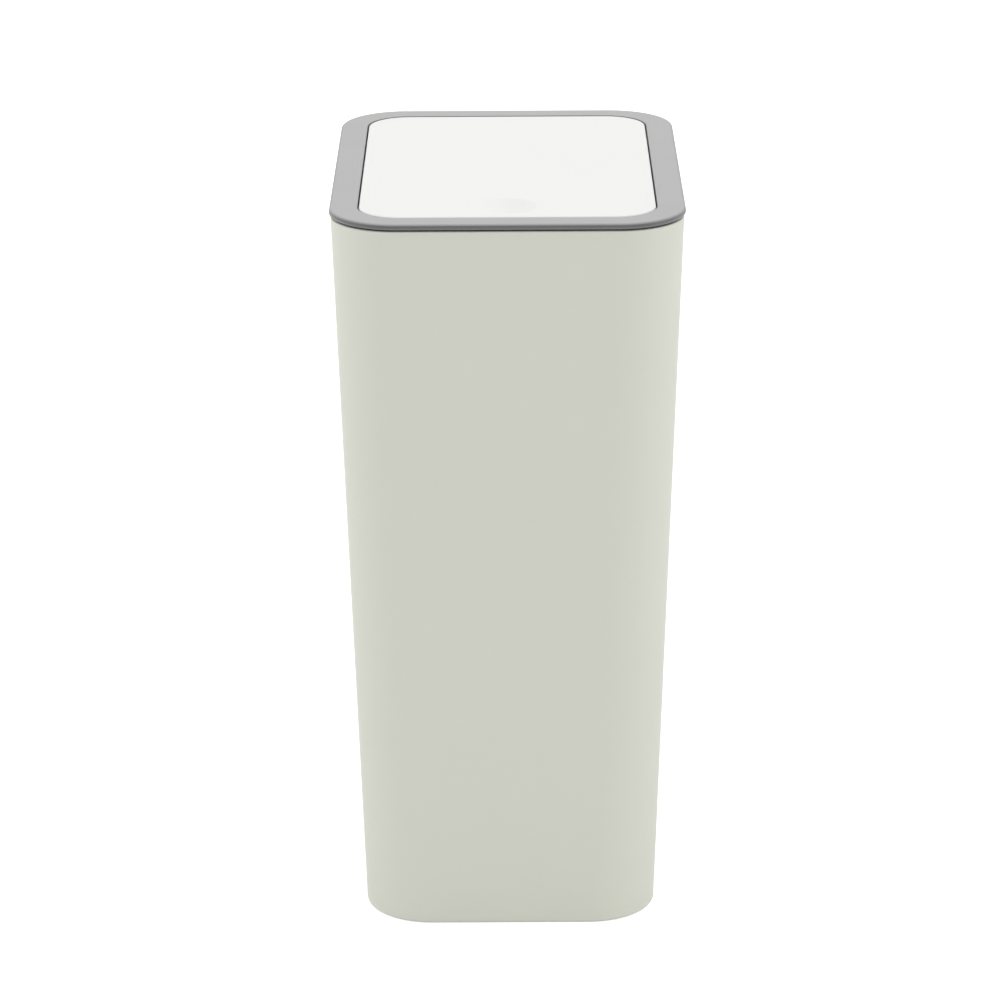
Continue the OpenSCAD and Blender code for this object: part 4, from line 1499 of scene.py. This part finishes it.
    def bosses(self) -> Piece:
        """Sets out the six screw bosses under the cover.

        Returns:
            The bosses as one piece.
        """
        length = self.under - self.boss_low
        end, root = length - self.boss_floor, length + OVERLAP
        outline = [(0, end), (self.boss_hole, end), (self.boss_hole, 0), (self.boss_r, 0),
                   (self.boss_r, root), (0, root)]
        spots = [(x, y, self.boss_low) for x, y in self.screw_spots]
        return copies("bosses", lathe("boss", outline), spots, [(0, 0, 0)] * len(spots),
                      LID_PLASTIC)

    def bulge(self) -> Piece:
        """Builds the disc that keeps the wall thick under the dish.

        Returns:
            The disc.
        """
        radius, root = self.dish_r - self.bulge_in, self.dish_depth + OVERLAP
        outline = [(0, 0), (radius - self.bulge_edge, 0), (radius, self.bulge_edge),
                   (radius, root), (0, root)]
        return place(lathe("bulge", outline, self.dish_steps),
                     (0, self.dish_y, self.under - self.dish_depth))

    def notches(self) -> Piece:
        """Sets out the two notches in the cover's edge, where the hinge barrels come through.

        Returns:
            The notches, as one piece to cut away.
        """
        r, low = self.notch_r, self.low.z - self.hinge_z - self.notch_past
        arch = [(r * math.cos(a), r * math.sin(a)) for a in arc(0, 180, 24)]
        notch = prism("notch", [*arch, (-r, low), (r, low)], self.wall + 2 * self.notch_past)
        spots = both_sides(self.reach.x - self.wall / 2, self.hinge_y, self.hinge_z)
        return copies("notches", notch, spots, [(0, 0, 90)] * 2, LID_PLASTIC)

    def pads(self) -> Piece:
        """Sets out the two pads that the springs' legs push up.

        Returns:
            The pads as one piece.
        """
        x, y, root = self.pad_w / 2, self.pad_d / 2, self.under - self.pad_low + OVERLAP
        pad = block("pad", (-x, -y, 0), (x, y, root), self.pad_round)
        spots = both_sides(self.pad_x, self.hinge_y - self.pad_in, self.pad_low)
        return copies("pads", pad, spots, [(0, 0, 0)] * 2, LID_PLASTIC)

    def cover(self) -> Piece:
        """Builds the cover with its dish, bosses, pads and notches.

        Returns:
            The cover.
        """
        cover = loft("cover_skin", self.profile(), LID_PLASTIC, closed=False)
        self.press_dish(cover)
        for part in (self.bosses(), self.bulge(), self.pads()):
            combine(cover, part)
        return shade(combine(cover, self.notches(), "DIFFERENCE"))

    def screws(self) -> Piece:
        """Sets out the six screws that hold the carrier.

        Returns:
            The screws as one piece.
        """
        spots = [(x, y, self.screw_z) for x, y in self.screw_spots]
        turns = [(0, 0, self.screw_turn * i) for i in range(len(spots))]
        return copies("carrier_screws", Screw(Head.PAN, self.screw_len).build(), spots, turns,
                      PLATED_STEEL)

    def dress(self) -> list[Piece]:
        """Builds the cover, the carrier and their screws and finishes them."""
        carrier = carry_over("lid_carrier", "carrier_plate", LID_PLASTIC, Body.LID)
        return [fit(self.cover(), self.cover_plastic, Body.LID, "lid_cover"), carrier,
                fit(self.screws(), PLATED_STEEL, Body.LID, "lid_screws")]


@dataclass
class Hinge(SubAssembly):
    """The two headed pins that the lid turns on, and the two springs that lift it."""

    low: Vector = corner_of("hinge_pin_right", highest=False)
    high: Vector = corner_of("hinge_pin_right")
    y: float = HINGE_AXIS[1]
    z: float = HINGE_AXIS[2]
    shank: float = 1.5 * MM
    tip_in: float = 0.4 * MM
    tip_len: float = 0.5 * MM
    head_t: float = 1.0 * MM
    head_edge: float = 0.1 * MM
    crown: float = 0.4 * MM
    wire: float = 0.9 * MM
    coil_d: float = 5.4 * MM
    coil_x: float = 57.45 * MM
    pitch: float = 1.4 * MM
    turns: int = 4
    leg: float = 15 * MM
    leg_slope: float = 10.8
    steps_a_turn: int = 28

    @property
    def sweep(self) -> tuple[float, float]:
        """The angles where the coil begins and ends, in degrees."""
        return self.leg_slope - 90, 90 + 360 * self.turns

    @property
    def coil_end(self) -> float:
        """The X where the right-hand coil ends."""
        first, last = self.sweep
        return self.coil_x - self.pitch * (last - first) / 360

    def coil_spot(self, angle: float) -> Flat:
        """The Y and Z of the middle of the coil's wire at an angle in degrees."""
        r, a = self.coil_d / 2, math.radians(angle)
        return self.y + r * math.cos(a), self.z + r * math.sin(a)

    def pin(self, side: Side) -> Piece:
        """Builds one pin, with a rounded head and a chamfered tip.

        Args:
            side: The side that the pin is on.

        Returns:
            The pin.
        """
        length, head_r = self.high.x - self.low.x, (self.high.z - self.low.z) / 2
        seat, edge = length - self.head_t, self.head_edge
        crown = [(head_r - self.crown * (1 - math.sin(a)), length - self.crown * (1 - math.cos(a)))
                 for a in arc(90, 0, 5)]
        outline = [(0, 0), (self.shank - self.tip_in, 0), (self.shank, self.tip_len),
                   (self.shank, seat), (head_r - edge, seat), (head_r, seat + edge), *crown,
                   (0, length)]
        pin = lathe(f"pin_{side.name.lower()}", outline)
        return shade(place(pin, (side.value * self.low.x, self.y, self.z),
                           (0, 90 * side.value, 0)))

    def spring_path(self, side: Side) -> list[Point]:
        """The path of one spring: its fixed leg, its turns and the leg under the lid.

        Args:
            side: The side that the spring is on.

        Returns:
            The points along the wire's middle.
        """
        slope = math.radians(self.leg_slope)
        first, last = self.sweep
        count = round((last - first) / 360 * self.steps_a_turn)
        y, z = self.coil_spot(first)
        fixed = [(self.coil_x, y - s * math.cos(slope), z - s * math.sin(slope))
                 for s in (self.leg, self.leg / 2)]
        coil = [(self.coil_x + (self.coil_end - self.coil_x) * share,
                 *self.coil_spot(first + (last - first) * share))
                for share in (i / count for i in range(count + 1))]
        moving = [(self.coil_end, self.y - s, self.z + self.coil_d / 2)
                  for s in (self.leg / 2, self.leg)]
        return [(side.value * x, y, z) for x, y, z in fixed + coil + moving]

    def spring(self, side: Side) -> Piece:
        """Winds one spring, and turns its leg with the lid.

        Args:
            side: The side that the spring is on.

        Returns:
            The finished spring.
        """
        name = side.name.lower()
        spring = wound(f"lift_spring_{name}", self.spring_path(side), self.wire / 2)
        finish_piece(spring, PLATED_STEEL, f"torsion_spring_{name}")
        start = (side.value * (self.coil_x - self.wire / 2), self.y, self.z)
        end = (side.value * (self.coil_end + self.wire / 2), self.y, self.z)
        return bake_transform(spring, Body.PINS.value, Body.LID.value, start=start, end=end)

    def dress(self) -> list[Piece]:
        """Builds the pins and the springs and finishes them.

        Returns:
            The finished pieces.
        """
        pins = [fit(self.pin(side), PLATED_STEEL, Body.PINS, f"hinge_pin_{side.name.lower()}")
                for side in Side]
        return pins + [self.spring(side) for side in Side]


@dataclass
class PushLatch(SubAssembly):
    """The push latch: its housing, sprung plunger, cam wire and striker, and their screws."""

    spring_low: Vector = corner_of("latch_spring", highest=False)
    spring_high: Vector = corner_of("latch_spring")
    wire_low: Vector = corner_of("latch_cam_wire", highest=False)
    wire_high: Vector = corner_of("latch_cam_wire")
    housing_low: Vector = corner_of("latch_housing", highest=False)
    coil_d: float = 4.2 * MM
    coil_wire: float = 0.6 * MM
    coil_turns: int = 8
    closed_turn: float = 0.62 * MM
    steps_a_turn: int = 24
    spring_floor: float = 285.362 * MM
    travel: float = -JOINTS["plunger_slide"]["range_m"][0]
    cam_wire: float = 0.8 * MM
    cam_bend: float = 0.8 * MM
    cam_y: float = -88.2 * MM
    ear_t: float = 2.4 * MM
    ear_x: float = 12.75 * MM
    ear_up: float = 11 * MM
    ear_screw: float = 6.3 * MM
    ear_screw_turns: Flat = (0, 30)
    striker_y: float = -83 * MM
    striker_base: float = 312.2 * MM
    striker_screw_x: float = 6 * MM
    striker_screw: float = 4.6 * MM
    striker_screw_turns: Flat = (20, 50)

    def spring(self) -> Piece:
        """Winds the plunger's spring, with closed end turns, on a mesh of its own.

        Returns:
            The finished spring.
        """
        r, wire_r = self.coil_d / 2, self.coil_wire / 2
        low, high = self.spring_low.z + wire_r, self.spring_high.z - wire_r
        rise = (high - low - 2 * self.closed_turn) / (self.coil_turns - 2)
        path = []
        for i in range(self.coil_turns * self.steps_a_turn + 1):
            turn = i / self.steps_a_turn
            ends = min(turn, 1) + max(turn - self.coil_turns + 1, 0)
            middle = min(max(turn - 1, 0), self.coil_turns - 2)
            angle = 2 * math.pi * turn
            path.append((r * math.cos(angle), self.striker_y + r * math.sin(angle),
                         low + self.closed_turn * ends + rise * middle))
        spring = wound("plunger_spring", path, wire_r, sides=12)
        fit(spring, PLATED_STEEL, Body.FRAME, "latch_spring")
        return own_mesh(spring)

    def cam_wire_path(self) -> list[Point]:
        """The path of the wire that follows the plunger's groove, with rounded bends.

        Returns:
            The points along the wire's middle.
        """
        r, bend = self.cam_wire / 2, self.cam_bend
        low, high = self.wire_low.z + r, self.wire_high.z - r
        quarter = arc(0, 90, 6)
        lower = [(0, self.cam_y - bend + bend * math.sin(a), low + bend - bend * math.cos(a))
                 for a in quarter]
        upper = [(0, self.cam_y + bend - bend * math.cos(a), high - bend + bend * math.sin(a))
                 for a in quarter]
        return [(0, self.wire_low.y, low), *lower, *upper, (0, self.wire_high.y, high)]

    def ear_screws(self) -> Piece:
        """Sets out the two screws through the housing's ears.

        Returns:
            The screws as one piece.
        """
        seat = self.housing_low.y + self.ear_t
        spots = both_sides(self.ear_x, seat, self.housing_low.z + self.ear_up)
        return copies("ear_screws", Screw(Head.PAN, self.ear_screw).build(), spots,
                      [(90, turn, 0) for turn in self.ear_screw_turns], PLATED_STEEL)

    def base_screws(self) -> Piece:
        """Sets out the two screws through the striker's base.

        Returns:
            The screws as one piece.
        """
        spots = both_sides(self.striker_screw_x, self.striker_y, self.striker_base)
        return copies("base_screws", Screw(Head.COUNTERSUNK, self.striker_screw).build(), spots,
                      [(0, 0, turn) for turn in self.striker_screw_turns], PLATED_STEEL)

    def dress(self) -> list[Piece]:
        """Builds the latch and finishes it.

        Returns:
            The finished pieces.
        """
        cam_wire = wound("cam_follower", self.cam_wire_path(), self.cam_wire / 2)
        return [carry_over("latch_housing", "latch_box", LATCH_PLASTIC, Body.FRAME),
                carry_over("latch_plunger", "latch_slider", PLUNGER_PLASTIC, Body.PLUNGER),
                carry_over("latch_striker", "lid_striker", LATCH_PLASTIC, Body.LID),
                fit(cam_wire, PLATED_STEEL, Body.FRAME, "latch_cam_wire"),
                fit(self.ear_screws(), PLATED_STEEL, Body.FRAME, "latch_screws"),
                fit(self.base_screws(), PLATED_STEEL, Body.LID, "striker_screws"),
                self.spring()]


# Studio


@dataclass(frozen=True)
class Softbox:
    """A soft rectangular lamp that faces a point, and may show in reflections."""

    name: str
    at: Point
    width: float
    height: float
    power: float
    mirrored: bool = True
    target: Point = (0, 0, 0.15)

    def hang(self) -> None:
        """Puts the lamp in the scene."""
        lamp = bpy.data.lights.new(self.name, "AREA")
        lamp.shape = "RECTANGLE"
        lamp.size, lamp.size_y = self.width, self.height
        lamp.energy = self.power
        holder = bpy.data.objects.new(self.name, lamp)
        holder.location = self.at
        holder.visible_glossy = self.mirrored
        aim = Vector(self.target) - Vector(self.at)
        holder.rotation_euler = aim.to_track_quat("-Z", "Y").to_euler()
        bpy.context.scene.collection.objects.link(holder)


@dataclass
class Studio:
    """The camera, the lamps, the pale floor and the white surround."""

    camera_at: Point = (-0.5 * MM, -1732.9 * MM, 756.6 * MM)
    pitch: float = 18.818
    yaw: float = -0.112
    roll: float = -0.30
    focal: float = 4.0775
    sensor: float = 36.0
    surround: float = 0.50
    floor_size: float = 12.0
    floor_tone: float = 0.90
    floor_glow: float = 0.45
    floor_sheen: float = 0.12
    softboxes: tuple[Softbox, ...] = (
        Softbox("softbox_top", (0, -0.1, 1.9), 2.0, 2.0, 11.0, target=(0, 0, 0.2)),
        Softbox("softbox_left", (-1.8, -0.5, 0.7), 1.2, 1.6, 8.2),
        Softbox("softbox_right", (1.8, -0.5, 0.7), 1.2, 1.6, 10.6),
        Softbox("softbox_back_left", (-1.5, 1.3, 0.6), 1.8, 1.8, 15.5, mirrored=False),
        Softbox("softbox_back_right", (1.5, 1.3, 0.6), 1.8, 1.8, 9.2, mirrored=False),
        Softbox("softbox_front", (0, -2.8, 0.9), 2.6, 1.8, 12.8))

    def set_camera(self) -> None:
        """Sets the camera at the photograph's viewing angle."""
        pitch, yaw, roll = (math.radians(a) for a in (self.pitch, self.yaw, self.roll))
        ahead = Vector((math.sin(yaw) * math.cos(pitch), math.cos(yaw) * math.cos(pitch),
                        -math.sin(pitch)))
        level = Vector((math.cos(yaw), -math.sin(yaw), 0))
        upright = level.cross(ahead)
        right = level * math.cos(roll) + upright * math.sin(roll)
        up = upright * math.cos(roll) - level * math.sin(roll)
        lens = bpy.data.cameras.new("camera")
        lens.sensor_width = self.sensor
        lens.lens = self.focal * self.sensor
        camera = bpy.data.objects.new("camera", lens)
        turn = Matrix((right, up, -ahead)).transposed().to_4x4()
        camera.matrix_world = Matrix.Translation(self.camera_at) @ turn
        bpy.context.scene.collection.objects.link(camera)
        bpy.context.scene.camera = camera

    @staticmethod
    def seen(recipe: Recipe) -> tuple[Socket, Socket]:
        """Masks for the two ways in which the surround is seen.

        Args:
            recipe: The tree that the masks are for.

        Returns:
            What the camera sees directly, and what shows in a reflection or through glass.
        """
        rays = recipe.add("ShaderNodeLightPath").outputs
        mirrored = recipe.math("MAXIMUM", rays["Is Glossy Ray"], rays["Is Transmission Ray"])
        return rays["Is Camera Ray"], mirrored

    def set_world(self) -> None:
        """Surrounds the bin with white that lights it softly."""
        world = bpy.data.worlds.new("surround")
        recipe = blank(world)
        strength = recipe.mix(self.surround, 1.0, recipe.math("MAXIMUM", *self.seen(recipe)))
        white = recipe.add("ShaderNodeBackground", {"Color": WHITE, "Strength": strength})
        recipe.add("ShaderNodeOutputWorld", {"Surface": white.outputs[0]})
        bpy.context.scene.world = world

    def lay_floor(self) -> None:
        """Lays the pale floor, which keeps the bin's shadow."""
        half = self.floor_size / 2
        mesh = bpy.data.meshes.new("floor")
        mesh.from_pydata([(-half, -half, 0), (half, -half, 0), (half, half, 0), (-half, half, 0)],
                         [], [(0, 1, 2, 3)])
        floor = link("floor", mesh)
        made = bpy.data.materials.new("floor")
        recipe = blank(made)
        matt = recipe.add("ShaderNodeBsdfDiffuse", {"Color": (*[self.floor_tone] * 3, 1.0)})
        direct, mirrored = self.seen(recipe)
        sheen = recipe.math("MULTIPLY", mirrored, self.floor_sheen)
        glow = recipe.math("MULTIPLY_ADD", direct, self.floor_glow, sheen)
        light = recipe.add("ShaderNodeEmission", {"Color": WHITE, "Strength": glow})
        both = recipe.add("ShaderNodeAddShader", {0: matt.outputs[0], 1: light.outputs[0]})
        recipe.add("ShaderNodeOutputMaterial", {"Surface": both.outputs[0]})
        mesh.materials.append(made)

    def set_up(self) -> None:
        """Sets up the whole studio."""
        bpy.context.scene.view_settings.view_transform = "Standard"
        self.set_camera()
        self.set_world()
        self.lay_floor()
        for softbox in self.softboxes:
            softbox.hang()


def main() -> None:
    """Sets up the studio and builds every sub-assembly in order."""
    logging.basicConfig(level=logging.INFO, format="%(name)s: %(message)s")
    Studio().set_up()
    for assembly in (Pail(), RimFrame(), Lid(), Hinge(), PushLatch()):
        for piece in assembly.dress():
            log.info("%s made, with %d faces", piece.name, len(piece.data.polygons))


if __name__ == "__main__":
    main()
